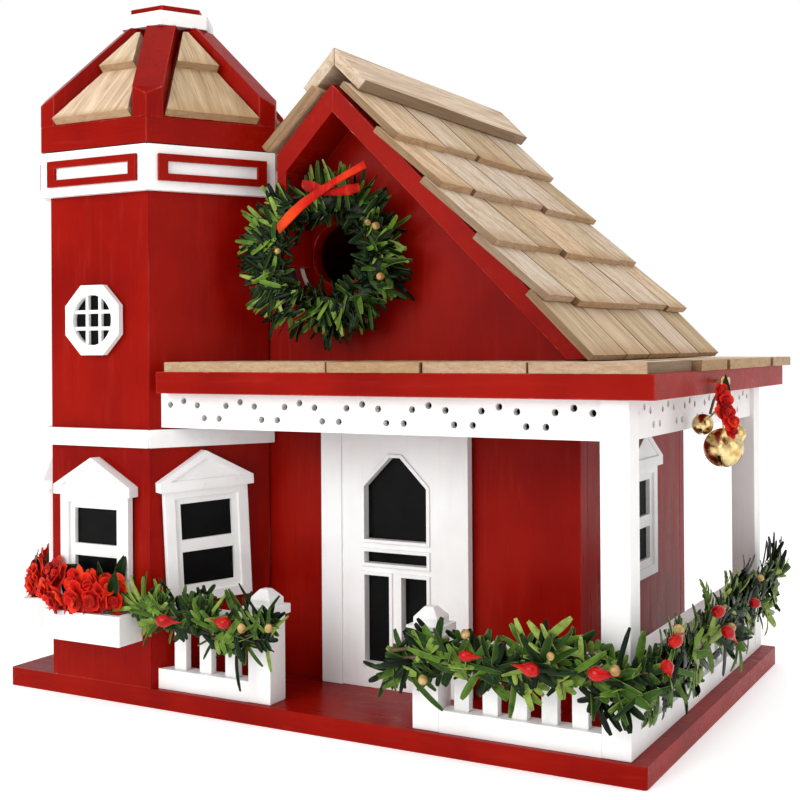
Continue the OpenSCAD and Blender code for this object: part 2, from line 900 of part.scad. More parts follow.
// Headed nail in the edge of the porch roof, the axis that the bells swing about
module bell_nail() {
    color(brass) translate([porch_right - 6, eye_y, eye_z]) rotate([0, 90, 0]) {
        cylinder(r = nail_r, h = eye_x + 2.1 - porch_right + 6, $fn = 32);
        translate([0, 0, eye_x + 2 - porch_right + 6]) cylinder(r = 1.7, h = 0.6, $fn = 32);
    }
}

// Wire loop over the nail, a stem down to a knot and a leg to each bell
module bell_loop() {
    knot = [eye_x, eye_y, knot_z];
    color(brass) {
        translate([eye_x, eye_y, loop_z]) rotate([0, 90, 0]) wire_ring(loop_r, wire_r);
        rod([eye_x, eye_y, loop_z - loop_r], knot, wire_r);
        translate(knot) sphere(r = 1.3);
        for (bell = bells) {
            away = bell[0] - knot;
            tip = bell[0] - away * ((bell[1] / 2 - 0.25) / norm(away));
            rod(knot, tip, 0.45);
        }
    }
}

// Hollow bells with a cross of slots in the underside
module jingle_bells() {
    slot = 1.5;
    color(brass) for (bell = bells) translate(bell[0]) difference() {
        r = bell[1] / 2;
        sphere(r = r);
        sphere(r = r - bell_wall);
        for (a = [0, 90]) rotate([0, 0, a])
            block([-r - 1, -slot / 2, -r - 1], [r + 1, slot / 2, -r / 3]);
    }
}

module bell_pellets() {
    color(brass) for (bell = bells) {
        r = bell[1] * pellet_share;
        translate(bell[0] - [0, 0, bell[1] / 2 - bell_wall - r - 0.15]) sphere(r = r);
    }
}

// Silk petals and a leaf, wired to the knot in front of the loop
module bell_sprig() {
    color(scarlet) translate([eye_x, eye_y, 0]) union() {
        rod([1, 0, knot_z], [4, -5, knot_z - 2], 0.4);
        block([3.4, -16, knot_z - 5.5], [7, -3, eye_z - 3]);
        block([4, -8, eye_z - 7], [5.6, -2, eye_z + 5]);
    }
}

// --- clean-out door ----------------------------------------------------------------

module cleanout_door() {
    color(red) block(
        [hatch_x + hatch_gap, wall_back - wall_t, hatch_z + hatch_gap],
        [hatch_x + hatch_w - hatch_free_gap, wall_back, hatch_z + hatch_h - hatch_gap]);
}

// A batten inside the free edge that the door shuts against
module cleanout_stop() {
    x = hatch_x + hatch_w;
    color(cedar) block([x - 5, wall_back - wall_t - 6, hatch_z + 6],
                       [x + 8, wall_back - wall_t - 0.3, hatch_z + hatch_h - 6]);
}

// Hinge barrel between two heights, bored for the pin
module knuckle(z0, z1) {
    translate([pin_x, pin_y, z0]) difference() {
        cylinder(r = knuckle_r, h = z1 - z0);
        translate([0, 0, -1]) cylinder(r = pin_r + pin_play, h = z1 - z0 + 2);
    }
}

// A flat leaf with its knuckles: side -1 lies on the wall, 1 on the door
module hinge_leaf(z, side, spans) {
    third = hinge_h / 3;
    face = [pin_x + side * knuckle_r * 0.98, wall_back, z];
    for (s = spans) knuckle(z + s * third + 0.15, z + (s + 1) * third - 0.15);
    difference() {
        union() {
            block([min(face[0], face[0] + side * leaf_w), wall_back, z],
                  [max(face[0], face[0] + side * leaf_w), wall_back + leaf_t, z + hinge_h]);
            for (s = spans) block(
                [min(pin_x, face[0]), wall_back, z + s * third + 0.15],
                [max(pin_x, face[0]), wall_back + leaf_t, z + (s + 1) * third - 0.15]);
        }
        translate([pin_x, pin_y, z - 1]) cylinder(r = pin_r + pin_play, h = hinge_h + 2);
    }
}

module hinge_leaves_wall() {
    color(brass) for (z = hinge_zs) hinge_leaf(z, -1, [0, 2]);
}

module hinge_leaves_door() {
    color(brass) for (z = hinge_zs) hinge_leaf(z, 1, [1]);
}

module hinge_pins() {
    color(brass) for (z = hinge_zs) translate([pin_x, pin_y, z]) {
        cylinder(r = pin_r, h = hinge_h + 0.3);
        translate([0, 0, hinge_h + 0.1]) cylinder(r = 1.5, h = 0.7);
    }
}

// A round-headed screw that points into the wall from y
module small_screw(x, y, z) {
    translate([x, y, z]) rotate([-90, 0, 0]) {
        cylinder(r = 1.5, h = 0.8, $fn = 24);
        translate([0, 0, -6]) cylinder(r = 0.7, h = 6.4, $fn = 24);
    }
}

module hinge_screws(side) {
    for (z = hinge_zs, dz = [4, hinge_h - 4])
        small_screw(pin_x + side * (knuckle_r + leaf_w / 2), wall_back + leaf_t, z + dz);
}

button_gap = 0.5;
button_t = 4;

// The last screw is the turn button's pivot, long enough to pass through it
module small_screws_wall() {
    y = wall_back + button_gap + button_t;
    color(brass) {
        hinge_screws(-1);
        translate([button_x, y + 0.2, button_z]) rotate([-90, 0, 0]) {
            cylinder(r = 2.4, h = 1, $fn = 24);
            translate([0, 0, -11]) cylinder(r = 1.2, h = 11.2, $fn = 24);
        }
    }
}

module small_screws_door() {
    color(brass) hinge_screws(1);
}

// Oval button, balanced on its pivot; across the door it reaches over the free edge
module turn_button() {
    half = 9;
    y = wall_back + button_gap;
    color(red) translate([button_x, 0, button_z]) rotate([0, button_turn, 0])
        along_y(y, y + button_t) difference() {
            union() {
                for (s = [-1, 1]) translate([0, s * half]) circle(r = 4.5);
                square([9, 2 * half], center = true);
            }
            circle(r = 1.26, $fn = 32);
        }
}

base_board();
base_screws();
front_wall();
back_wall();
right_wall();
left_wall();
tower_walls();
tower_band();
tower_band_frames();
tower_belt();
tower_drum();
tower_roof_core();
tower_hip_boards();
tower_shingles_lower();
tower_shingles_upper();
tower_cap_ring();
tower_cap_top();
roof_deck_right();
roof_deck_left();
gable_cheek();
ridge_caps();
shingle_course(0);  // shingle_course_1
shingle_course(1);  // shingle_course_2
shingle_course(2);  // shingle_course_3
shingle_course(3);  // shingle_course_4
shingle_course(4);  // shingle_course_5
porch_roof();
porch_shingles();
frieze_front();
frieze_side();
porch_posts();
fence_newels();
newel_caps();
fence_rails();
fence_pickets();
door_panel();
octagon_window();
window_frames();
window_pediments();
black_panes();
window_boxes();
box_flowers();
garland_porch();
garland_small();
wreath();
wreath_bow();
bell_nail();
bell_loop();
jingle_bells();
bell_pellets();
bell_sprig();
cleanout_door();
cleanout_stop();
hinge_leaves_wall();
hinge_leaves_door();
hinge_pins();
small_screws_wall();
small_screws_door();
turn_button();
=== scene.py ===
"""Looks of the birdhouse: painted boards, split shingles, greenery, ribbon, flowers and bells.

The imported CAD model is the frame. Painted boards keep their CAD meshes. Shingles are cut
finer from the CAD's own solids, and every soft CAD solid is replaced by real leaves,
petals and ribbon.
"""

import math

import bmesh
import bpy
import numpy as np
from mathutils import Matrix, Vector, noise


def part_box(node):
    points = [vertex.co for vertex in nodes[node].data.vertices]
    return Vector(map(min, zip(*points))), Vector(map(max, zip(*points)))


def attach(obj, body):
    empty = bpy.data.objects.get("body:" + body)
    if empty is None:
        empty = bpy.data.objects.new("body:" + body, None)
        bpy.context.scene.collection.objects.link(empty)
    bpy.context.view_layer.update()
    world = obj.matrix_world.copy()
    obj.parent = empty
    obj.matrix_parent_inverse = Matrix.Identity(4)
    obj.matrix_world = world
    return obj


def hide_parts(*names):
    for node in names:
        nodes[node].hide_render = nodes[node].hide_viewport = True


MM = 0.001
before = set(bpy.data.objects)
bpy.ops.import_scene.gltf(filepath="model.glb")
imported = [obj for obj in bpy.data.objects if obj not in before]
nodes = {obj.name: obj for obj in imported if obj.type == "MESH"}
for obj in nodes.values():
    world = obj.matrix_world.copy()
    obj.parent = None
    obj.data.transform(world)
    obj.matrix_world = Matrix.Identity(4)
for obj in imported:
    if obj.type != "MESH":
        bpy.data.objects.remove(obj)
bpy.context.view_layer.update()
scene = bpy.context.scene


# --- camera and light ----------------------------------------------------------

CAMERA_AT = Vector((304.16, -553.22, 162.40)) * MM
CAMERA_AZIMUTH = math.radians(28.845)
CAMERA_PITCH = math.radians(0.182)
CAMERA_ROLL = math.radians(-0.374)
LENS_MM = 57.03
SHIFT_Y = -0.0711


def make_camera():
    """The camera stands to the right of the front, almost level with the porch roof."""
    data = bpy.data.cameras.new("camera")
    data.sensor_width = 36
    data.lens = LENS_MM
    data.shift_y = SHIFT_Y
    data.clip_start, data.clip_end = 0.01, 20
    camera = bpy.data.objects.new("camera", data)
    scene.collection.objects.link(camera)
    turn = Matrix.Rotation(CAMERA_AZIMUTH, 4, "Z")
    tilt = Matrix.Rotation(math.pi / 2 + CAMERA_PITCH, 4, "X")
    roll = Matrix.Rotation(CAMERA_ROLL, 4, "Z")
    camera.matrix_world = Matrix.Translation(CAMERA_AT) @ turn @ tilt @ roll
    scene.camera = camera


def area_light(name, at, aim, size, power):
    data = bpy.data.lights.new(name, "AREA")
    data.shape = "RECTANGLE"
    data.size, data.size_y = size
    data.energy = power
    light = bpy.data.objects.new(name, data)
    scene.collection.objects.link(light)
    light.location = at
    light.rotation_euler = (Vector(aim) - Vector(at)).to_track_quat("-Z", "Y").to_euler()


def make_world():
    """A white studio: bright behind and at the sides, dimmer in front of the object."""
    world = bpy.data.worlds.new("studio")
    world.use_nodes = True
    scene.world = world
    tree = world.node_tree
    tree.nodes.clear()
    new, link = tree.nodes.new, tree.links.new
    out = new("ShaderNodeOutputWorld")
    coords = new("ShaderNodeTexCoord")
    split = new("ShaderNodeSeparateXYZ")
    link(coords.outputs["Generated"], split.inputs[0])
    fade = new("ShaderNodeMapRange")
    fade.inputs["From Min"].default_value = -0.75
    fade.inputs["From Max"].default_value = 0.35
    fade.inputs["To Min"].default_value = 0.62
    fade.inputs["To Max"].default_value = 0.80
    link(split.outputs["Y"], fade.inputs["Value"])
    lit = new("ShaderNodeBackground")
    lit.inputs["Color"].default_value = (1, 1, 1, 1)
    link(fade.outputs[0], lit.inputs["Strength"])
    seen = new("ShaderNodeBackground")
    seen.inputs["Color"].default_value = (1, 1, 1, 1)
    seen.inputs["Strength"].default_value = 1.0
    path = new("ShaderNodeLightPath")
    mix = new("ShaderNodeMixShader")
    link(path.outputs["Is Camera Ray"], mix.inputs[0])
    link(lit.outputs[0], mix.inputs[1])
    link(seen.outputs[0], mix.inputs[2])
    link(mix.outputs[0], out.inputs["Surface"])


def make_studio():
    """One large soft light in front, and weaker ones above and at the right."""
    make_world()
    area_light("key", (-0.35, -1.45, 0.75), (0, 0, 0.12), (1.1, 1.1), 15)
    area_light("top", (0.2, -0.1, 1.3), (0, 0, 0.1), (0.9, 0.9), 3)
    area_light("right", (1.4, -0.3, 0.5), (0, 0, 0.15), (0.9, 0.9), 3)
    scene.view_settings.view_transform = "Standard"


# --- materials -------------------------------------------------------------------


class Shader:
    """A small builder for one procedural Principled material."""

    def __init__(self, name, attribute=None):
        self.material = bpy.data.materials.new(name)
        self.material.use_nodes = True
        self.tree = self.material.node_tree
        self.bsdf = self.tree.nodes["Principled BSDF"]
        if attribute:
            self.place = self.vector(attribute)
        else:
            self.place = self.add("ShaderNodeTexCoord").outputs["Object"]

    def add(self, kind, inputs=None, **settings):
        node = self.tree.nodes.new(kind)
        for key, value in settings.items():
            setattr(node, key, value)
        for key, value in (inputs or {}).items():
            self.feed(node.inputs[key], value)
        return node

    def feed(self, socket, value):
        if isinstance(value, bpy.types.NodeSocket):
            self.tree.links.new(value, socket)
        else:
            socket.default_value = value

    def vector(self, attribute):
        node = self.add("ShaderNodeAttribute", attribute_name=attribute)
        return node.outputs["Vector"]

    def parts(self, attribute):
        """The three numbers of a vector attribute, as separate sockets."""
        node = self.add("ShaderNodeSeparateXYZ", {0: self.vector(attribute)})
        return node.outputs[:3]

    def noise(self, scale, stretch=(1, 1, 1), detail=4, rough=0.55, twist=0):
        place = self.add("ShaderNodeMapping", {"Vector": self.place, "Scale": stretch})
        return self.add(
            "ShaderNodeTexNoise",
            {
                "Vector": place.outputs[0],
                "Scale": scale,
                "Detail": detail,
                "Roughness": rough,
                "Distortion": twist,
            },
        ).outputs["Fac"]

    def ramp(self, value, *stops):
        node = self.add("ShaderNodeValToRGB", {"Fac": value})
        ramp = node.color_ramp
        while len(ramp.elements) < len(stops):
            ramp.elements.new(0.5)
        for element, (at, colour) in zip(ramp.elements, stops):
            element.position = at
            if not hasattr(colour, "__len__"):
                colour = (colour,) * 3
            element.color = (*colour, 1)
        return node.outputs["Color"]

    def mix(self, share, a, b, blend="MIX"):
        node = self.add("ShaderNodeMix", data_type="RGBA", blend_type=blend)
        for socket, value in ((0, share), (6, a), (7, b)):
            if isinstance(value, tuple):
                value = (*value, 1)
            self.feed(node.inputs[socket], value)
        return node.outputs[2]

    def maths(self, operation, a, b=0.0):
        node = self.add("ShaderNodeMath", operation=operation)
        self.feed(node.inputs[0], a)
        self.feed(node.inputs[1], b)
        return node.outputs[0]

    def bump(self, height, distance, strength=1.0, over=None):
        inputs = {"Height": height, "Distance": distance, "Strength": strength}
        if over is not None:
            inputs["Normal"] = over
        return self.add("ShaderNodeBump", inputs).outputs[0]

    def finish(self, **inputs):
        for key, value in inputs.items():
            if isinstance(value, tuple) and len(value) == 3:
                value = (*value, 1)
            self.feed(self.bsdf.inputs[key.replace("_", " ")], value)
        return self.material


# How much slower the paint's grain changes along the brush strokes than across them
ALONG = 0.09
GRAIN = {"x": (ALONG, 1, 1), "y": (1, ALONG, 1), "z": (1, 1, ALONG)}


def painted(name, dark, base, light, along, gloss, streaks, chips, shine):
    """Brushed paint over wood: faint grain and brush marks that run along one axis."""
    s = Shader(name)
    grain = s.noise(260, GRAIN[along], detail=5, rough=0.6, twist=0.3)
    cloud = s.noise(22, detail=3)
    fleck = s.noise(520, GRAIN[along], detail=3, rough=0.7)
    body = s.ramp(cloud, (0.30, dark), (0.62, base))
    marks = s.ramp(grain, (0.56, 0.0), (0.78, 1.0))
    colour = s.mix(s.maths("MULTIPLY", marks, streaks), body, light)
    worn = s.ramp(fleck, (0.70, 0.0), (0.76, 1.0))
    colour = s.mix(s.maths("MULTIPLY", worn, chips), colour, light)
    rough = s.ramp(grain, (0.3, gloss), (0.7, gloss + 0.14))
    relief = s.bump(grain, 0.00035, 0.35)
    relief = s.bump(cloud, 0.0012, 0.25, relief)
    return s.finish(
        Base_Color=colour, Roughness=rough, Normal=relief, Specular_IOR_Level=shine
    )


def bare_wood(name):
    """Split cedar: the grain runs along the second number of the attribute 'board'.

    The second attribute holds the board's own tint, its sides, where the colour darkens as painted
    shade for the gaps between boards, and its cut end, which is coloured darker.
    """
    s = Shader(name, attribute="board")
    tint, side_shade, butt = s.parts("tint_side_shade_and_end")
    fine = s.noise(1300, (1, 0.035, 1), detail=5, rough=0.65, twist=0.25)
    broad = s.noise(210, (1, 0.07, 1), detail=4, twist=0.8)
    ring = s.ramp(broad, (0.36, (0.50, 0.375, 0.245)), (0.64, (0.72, 0.60, 0.44)))
    streak = s.ramp(fine, (0.30, 1.0), (0.48, 0.0))
    colour = s.mix(s.maths("MULTIPLY", streak, 0.7), ring, (0.25, 0.15, 0.07))
    shade = s.ramp(
        tint,
        (0.0, (0.72, 0.62, 0.50)),
        (0.35, (0.95, 0.90, 0.84)),
        (0.7, (1, 1, 1.1)),
        (1.0, (1, 0.84, 0.68)),
    )
    colour = s.mix(1.0, colour, shade, "MULTIPLY")
    colour = s.mix(s.maths("MULTIPLY", butt, 0.55), colour, (0.36, 0.19, 0.075))
    # Painted shade: the colour darkens at the board's sides, for the dark gaps between boards
    colour = s.mix(s.maths("MULTIPLY", side_shade, 0.75), colour, (0.16, 0.085, 0.035))
    relief = s.bump(fine, 0.0006, 0.9)
    return s.finish(
        Base_Color=colour, Roughness=0.78, Normal=relief, Specular_IOR_Level=0.25
    )


def leaf_green(name):
    """Glossy plastic leaves: each leaf has its own green, and the brighter ones a painted
    highlight along their rim.
    """
    s = Shader(name)
    shade, edge, _ = s.parts("leaf")
    green = s.ramp(
        shade,
        (0.0, (0.0015, 0.006, 0.001)),
        (0.30, (0.006, 0.024, 0.003)),
        (0.55, (0.030, 0.080, 0.006)),
        (0.80, (0.100, 0.200, 0.016)),
        (1.0, (0.250, 0.350, 0.060)),
    )
    # Painted highlight: the rims of the brighter leaves turn pale yellow-green
    rim = s.ramp(edge, (0.80, 0.0), (1.0, 1.0))
    share = s.maths("MULTIPLY", rim, s.maths("MULTIPLY", shade, 0.55))
    pale = s.mix(share, green, (0.40, 0.46, 0.17))
    patch = s.noise(240, detail=3)
    colour = s.mix(s.ramp(patch, (0.45, 0.0), (0.72, 0.6)), pale, (0.006, 0.016, 0.003))
    relief = s.bump(s.noise(900, detail=2), 0.0003, 0.4)
    return s.finish(
        Base_Color=colour, Roughness=0.24, Normal=relief, Specular_IOR_Level=0.10
    )


THREADS = 2600  # thread bands of the weave, as the wave texture's scale per metre


def cloth_red(name, dark, base, light):
    """Woven silk petals or ribbon with a soft sheen: the per-vertex shade paints darker folds and
    creases and lighter highlights.
    """
    s = Shader(name)
    body = s.ramp(s.parts("leaf")[0], (0.0, dark), (0.5, base), (1.0, light))
    vein = s.noise(420, (1, 1, 0.3), detail=3)
    colour = s.mix(s.ramp(vein, (0.5, 0.0), (0.72, 0.45)), body, light)
    weave = s.add(
        "ShaderNodeTexWave",
        {"Vector": s.place, "Scale": THREADS, "Distortion": 2.0},
        wave_type="BANDS",
    ).outputs["Fac"]
    relief = s.bump(weave, 0.00012, 0.35, s.bump(vein, 0.0008, 0.5))
    return s.finish(
        Base_Color=colour,
        Roughness=0.58,
        Normal=relief,
        Sheen_Weight=0.03,
        Sheen_Roughness=0.4,
        Specular_IOR_Level=0.12,
    )


def metal(name, dark, base, rough):
    """Thin plated metal with a slightly cloudy polish."""
    s = Shader(name)
    cloud = s.noise(260, detail=4)
    colour = s.ramp(cloud, (0.35, dark), (0.65, base))
    gloss = s.ramp(cloud, (0.3, rough), (0.7, rough + 0.18))
    relief = s.bump(s.noise(1500, detail=2), 0.0002, 0.3)
    return s.finish(Base_Color=colour, Metallic=1.0, Roughness=gloss, Normal=relief)


def enamel(name, dark, base, rough, shine=0.5):
    """Glossy moulded berries and buds, and the wreath's coated wire."""
    s = Shader(name)
    cloud = s.noise(330, detail=3)
    colour = s.ramp(cloud, (0.35, dark), (0.62, base))
    relief = s.bump(s.noise(700, detail=2), 0.0005, 0.35)
    return s.finish(
        Base_Color=colour, Roughness=rough, Normal=relief, Specular_IOR_Level=shine
    )


def black_film(name):
    """The black backing behind the window and door lights."""
    s = Shader(name)
    cloud = s.noise(60, detail=3)
    colour = s.ramp(cloud, (0.3, (0.002, 0.002, 0.002)), (0.7, (0.006, 0.006, 0.006)))
    rough = s.ramp(cloud, (0.3, 0.28), (0.7, 0.45))
    relief = s.bump(s.noise(300, detail=3), 0.0003, 0.3)
    return s.finish(
        Base_Color=colour, Roughness=rough, Normal=relief, Specular_IOR_Level=0.06
    )


# Each paint: the dark, the usual and the light colour of its coat
RED = (0.19, 0.0015, 0.0005), (0.265, 0.0045, 0.001), (0.42, 0.030, 0.014)
# Lighter red for the rounded edges of red boards: partly worn paint, partly a painted highlight
WORN_AND_HIGHLIT_RED = (0.24, 0.006, 0.003), (0.34, 0.022, 0.014), (0.62, 0.30, 0.24)
WHITE = (0.76, 0.75, 0.74), (0.86, 0.86, 0.85), (0.66, 0.65, 0.66)
# For petals and ribbon the dark colour is painted shade in folds and creases, the light one a
# painted highlight
PETAL_RED = (0.22, 0.001, 0.001), (0.62, 0.006, 0.003), (0.86, 0.055, 0.012)
RIBBON_RED = (0.24, 0.001, 0.001), (0.50, 0.005, 0.001), (0.80, 0.060, 0.006)


def red_paint(axis):
    name = "red_paint_" + axis
    return painted(name, *RED, axis, gloss=0.24, streaks=0.25, chips=0.10, shine=0.05)


def white_paint(axis):
    name = "white_paint_" + axis
    return painted(name, *WHITE, axis, gloss=0.40, streaks=0.35, chips=0.4, shine=0.35)


reds = {axis: red_paint(axis) for axis in "xyz"}
worn_and_highlit_red = painted("worn_and_highlit_red", *WORN_AND_HIGHLIT_RED, "z", gloss=0.4, streaks=0.5, chips=0.6, shine=0.06)
whites = {axis: white_paint(axis) for axis in "xyz"}
cedar = bare_wood("bare_cedar")
greens = leaf_green("plastic_leaves")
petals = cloth_red("silk_petals", *PETAL_RED)
ribbon_cloth = cloth_red("ribbon", *RIBBON_RED)
bell_gold = metal("bell_gold", (0.50, 0.32, 0.10), (0.86, 0.70, 0.36), 0.14)
brass = metal("hinge_brass", (0.50, 0.36, 0.14), (0.74, 0.56, 0.27), 0.30)
zinc = metal("zinc_screws", (0.45, 0.45, 0.47), (0.66, 0.66, 0.68), 0.32)
berry_red = enamel("berry_red", (0.25, 0.001, 0.001), (0.48, 0.002, 0.001), 0.16, 0.22)
bud_gold = enamel("bud_gold", (0.20, 0.10, 0.02), (0.52, 0.34, 0.11), 0.38)
black = black_film("black_film")
dark_core = enamel("dark_core", (0.004, 0.006, 0.003), (0.012, 0.018, 0.008), 0.7)
twig = enamel("twig", (0.05, 0.03, 0.012), (0.13, 0.085, 0.035), 0.6)
wreath_white = enamel("wreath_frame", (0.72, 0.71, 0.69), (0.86, 0.85, 0.83), 0.4)

NODE_LOOKS = {
    reds["x"]: ["base_board", "porch_roof", "tower_cap_top", "tower_band_frames", "tower_drum"],
    reds["y"]: ["roof_deck_right", "roof_deck_left"],
    reds["z"]: [
        "front_wall", "back_wall", "right_wall", "left_wall", "tower_walls",
        "tower_roof_core", "tower_hip_boards", "gable_cheek", "cleanout_door", "turn_button",
    ],
    whites["x"]: [
        "tower_band", "tower_belt", "tower_cap_ring", "frieze_front", "fence_rails",
        "window_pediments", "window_boxes",
    ],
    whites["y"]: ["frieze_side"],
    whites["z"]: [
        "porch_posts", "fence_newels", "newel_caps", "fence_pickets", "door_panel",
        "octagon_window", "window_frames",
    ],
    black: ["black_panes"],
    bell_gold: ["jingle_bells", "bell_pellets"],
    brass: [
        "bell_nail", "bell_loop", "hinge_leaves_wall", "hinge_leaves_door", "hinge_pins",
        "small_screws_wall", "small_screws_door",
    ],
    zinc: ["base_screws"],
}
# Round nodes and the drilled friezes keep their edges as they are
UNBEVELLED_NODES = [
    "jingle_bells", "bell_pellets", "bell_nail", "bell_loop", "hinge_pins",
    "frieze_front", "frieze_side",
]
# Thin mouldings take half the rounding of the boards
FINE_NODES = [
    "window_frames", "window_pediments", "octagon_window", "tower_band_frames", "door_panel",
]
EDGE_ROUND = 0.4 * MM
EDGE_ANGLE = math.radians(32)
SAME_POINT = 2e-6


def dress_cad_nodes():
    """Gives every CAD node that stays in view its paint or metal and slightly soft edges. The
    rounded edges of the red boards take a lighter red, which is partly worn paint and partly a
    painted highlight.
    """
    for look, names in NODE_LOOKS.items():
        for name in names:
            node = nodes[name]
            node.data.materials.clear()
            node.data.materials.append(look)
            weld = node.modifiers.new("weld", "WELD")
            weld.merge_threshold = SAME_POINT
            if name not in UNBEVELLED_NODES:
                bevel = node.modifiers.new("soft_edges", "BEVEL")
                bevel.width = EDGE_ROUND * (0.5 if name in FINE_NODES else 1)
                bevel.segments = 2
                bevel.limit_method = "ANGLE"
                bevel.angle_limit = EDGE_ANGLE
                # Red boards take the lighter red on their rounded edges: worn paint and a painted
                # highlight
                if look in reds.values():
                    node.data.materials.append(worn_and_highlit_red)
                    bevel.material = 1


# --- mesh helpers ------------------------------------------------------------------

FRONT, UP = np.array((0, -1.0, 0)), np.array((0, 0, 1.0))


def set_vectors(mesh, name, values):
    """Gives each vertex a vector that the materials read by name."""
    layer = mesh.attributes.new(name, "FLOAT_VECTOR", "POINT")
    layer.data.foreach_set("vector", np.asarray(values, np.float32).ravel())


def new_piece(name, verts, faces, material, body="house", data=None, smooth=True):
    """Makes a piece from plain lists, with an optional per-vertex 'leaf' vector."""
    mesh = bpy.data.meshes.new(name)
    mesh.from_pydata([tuple(v) for v in verts], [], [tuple(f) for f in faces])
    if data is not None:
        set_vectors(mesh, "leaf", data)
    mesh.materials.append(material)
    if smooth:
        mesh.shade_smooth()
    piece = bpy.data.objects.new(name, mesh)
    scene.collection.objects.link(piece)
    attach(piece, body)
    return piece


class Heap:
    """Collects the vertices, faces and per-vertex data of many small shapes.

    The data of a vertex is its shade, how near it is to the rim, and a spare number.
    """

    def __init__(self):
        self.verts, self.faces, self.data = [], [], []

    def put(self, verts, faces, data):
        start = len(self.verts)
        self.verts.extend(verts)
        self.data.extend(data)
        self.faces.extend(tuple(start + i for i in face) for face in faces)

    def piece(self, name, material, body="house", thickness=0.0):
        made = new_piece(name, self.verts, self.faces, material, body, self.data)
        if thickness:
            solid = made.modifiers.new("thickness", "SOLIDIFY")
            solid.thickness = thickness
            solid.offset = 0
        return made


def unit(v):
    v = np.asarray(v, float)
    return v / max(np.linalg.norm(v), 1e-9)


def across(direction, toward):
    """The part of toward that is square to direction, as a unit vector."""
    direction = unit(direction)
    toward = np.asarray(toward, float)
    left = toward - direction * (toward @ direction)
    if np.linalg.norm(left) < 1e-6:
        left = np.cross(direction, (0.3, 0.5, 0.8))
    return unit(left)


# A leaf's width along its length, as shares of its full width
STRAP = (0.55, 0.90, 1.0, 1.0, 0.98, 0.86, 0.48)
POINTED = (0.25, 0.75, 1.0, 0.95, 0.75, 0.42, 0.06)
RIB_FOLD = 0.22  # how far a leaf's edges rise above its rib, as a share of half its width
LEAF_THICK = 0.22 * MM


def put_leaf(heap, root, direction, facing, length, width, droop, shade, outline=STRAP):
    """A flat leaf folded along its rib: it leaves root along direction and droops."""
    direction = unit(direction)
    up = across(direction, facing)
    side = np.cross(direction, up)
    count = len(outline)
    step = length / (count - 1)
    at = np.asarray(root, float).copy()
    verts, data = [], []
    for k, share in enumerate(outline):
        half = width / 2 * share
        fold = RIB_FOLD * half
        verts += [at - side * half + up * fold, at, at + side * half + up * fold]
        data += [(shade, 1.0, k / (count - 1)), (shade, 0.75, 0), (shade, 1.0, 0)]
        if 0 < k < count - 1:
            data[-2] = (shade, 0.0, 0)
        at = at + direction * step
        bend = droop / (count - 1)
        turned = direction * math.cos(bend) - up * math.sin(bend)
        up = up * math.cos(bend) + direction * math.sin(bend)
        direction = turned
    faces = []
    for k in range(count - 1):
        a = 3 * k
        faces += [(a, a + 3, a + 4, a + 1), (a + 1, a + 4, a + 5, a + 2)]
    heap.put(verts, faces, data)


def put_tube(heap, points, radius, shade=0.5, sides=7, taper=None):
    """A closed tube along points; taper gives the radius at each point as a share."""
    points = [np.asarray(p, float) for p in points]
    verts, faces, data = [], [], []
    guide = np.array((0.13, 0.27, 0.95))
    for k, p in enumerate(points):
        ahead = points[min(k + 1, len(points) - 1)] - points[max(k - 1, 0)]
        u = across(ahead, guide)
        v = np.cross(unit(ahead), u)
        r = radius * (taper[k] if taper else 1)
        for i in range(sides):
            a = 2 * math.pi * i / sides
            verts.append(p + (u * math.cos(a) + v * math.sin(a)) * r)
            data.append((shade, 0, k / len(points)))
    for k in range(len(points) - 1):
        for i in range(sides):
            j = (i + 1) % sides
            a, b = k * sides, (k + 1) * sides
            faces.append((a + i, a + j, b + j, b + i))
    faces.append(tuple(range(sides))[::-1])
    last = (len(points) - 1) * sides
    faces.append(tuple(last + i for i in range(sides)))
    heap.put(verts, faces, data)


def put_bud(heap, at, direction, length, radius, outline):
    """A round body of revolution: outline gives its radius along direction."""
    direction = unit(direction)
    points = [np.asarray(at, float) + direction * length * t for t, _ in outline]
    put_tube(heap, points, radius, sides=12, taper=[r for _, r in outline])


# A bud's radius at places along it, both as shares of its size
TEARDROP = (
    (-0.50, 0.05), (-0.47, 0.42), (-0.38, 0.74), (-0.24, 0.95), (-0.10, 1.0), (0.06, 0.86),
    (0.22, 0.60), (0.36, 0.36), (0.50, 0.20), (0.66, 0.10), (0.80, 0.03),
)
BALL = (
    (-0.50, 0.03), (-0.46, 0.38), (-0.35, 0.70), (-0.18, 0.94), (0.0, 1.0), (0.18, 0.94),
    (0.35, 0.70), (0.46, 0.38), (0.50, 0.03),
)


# --- shingles ------------------------------------------------------------------------

# Down the roof's two slopes
DOWN_RIGHT, DOWN_LEFT = unit((1, 0, -1)), unit((-1, 0, -1))

SIDE_SHRINK = 0.2 * MM  # each board is this much narrower at each side, for a dark joint
# Painted shade: a board darkens over this rim at each side
SHADED_SIDE_RIM = 0.5 * MM  # how far in from its sides a board is darkened
ON_EDGE = 0.1 * MM
CUT_END = 0.4 * MM  # how far up from its foot a board counts as its cut end
FRAY = 0.55 * MM


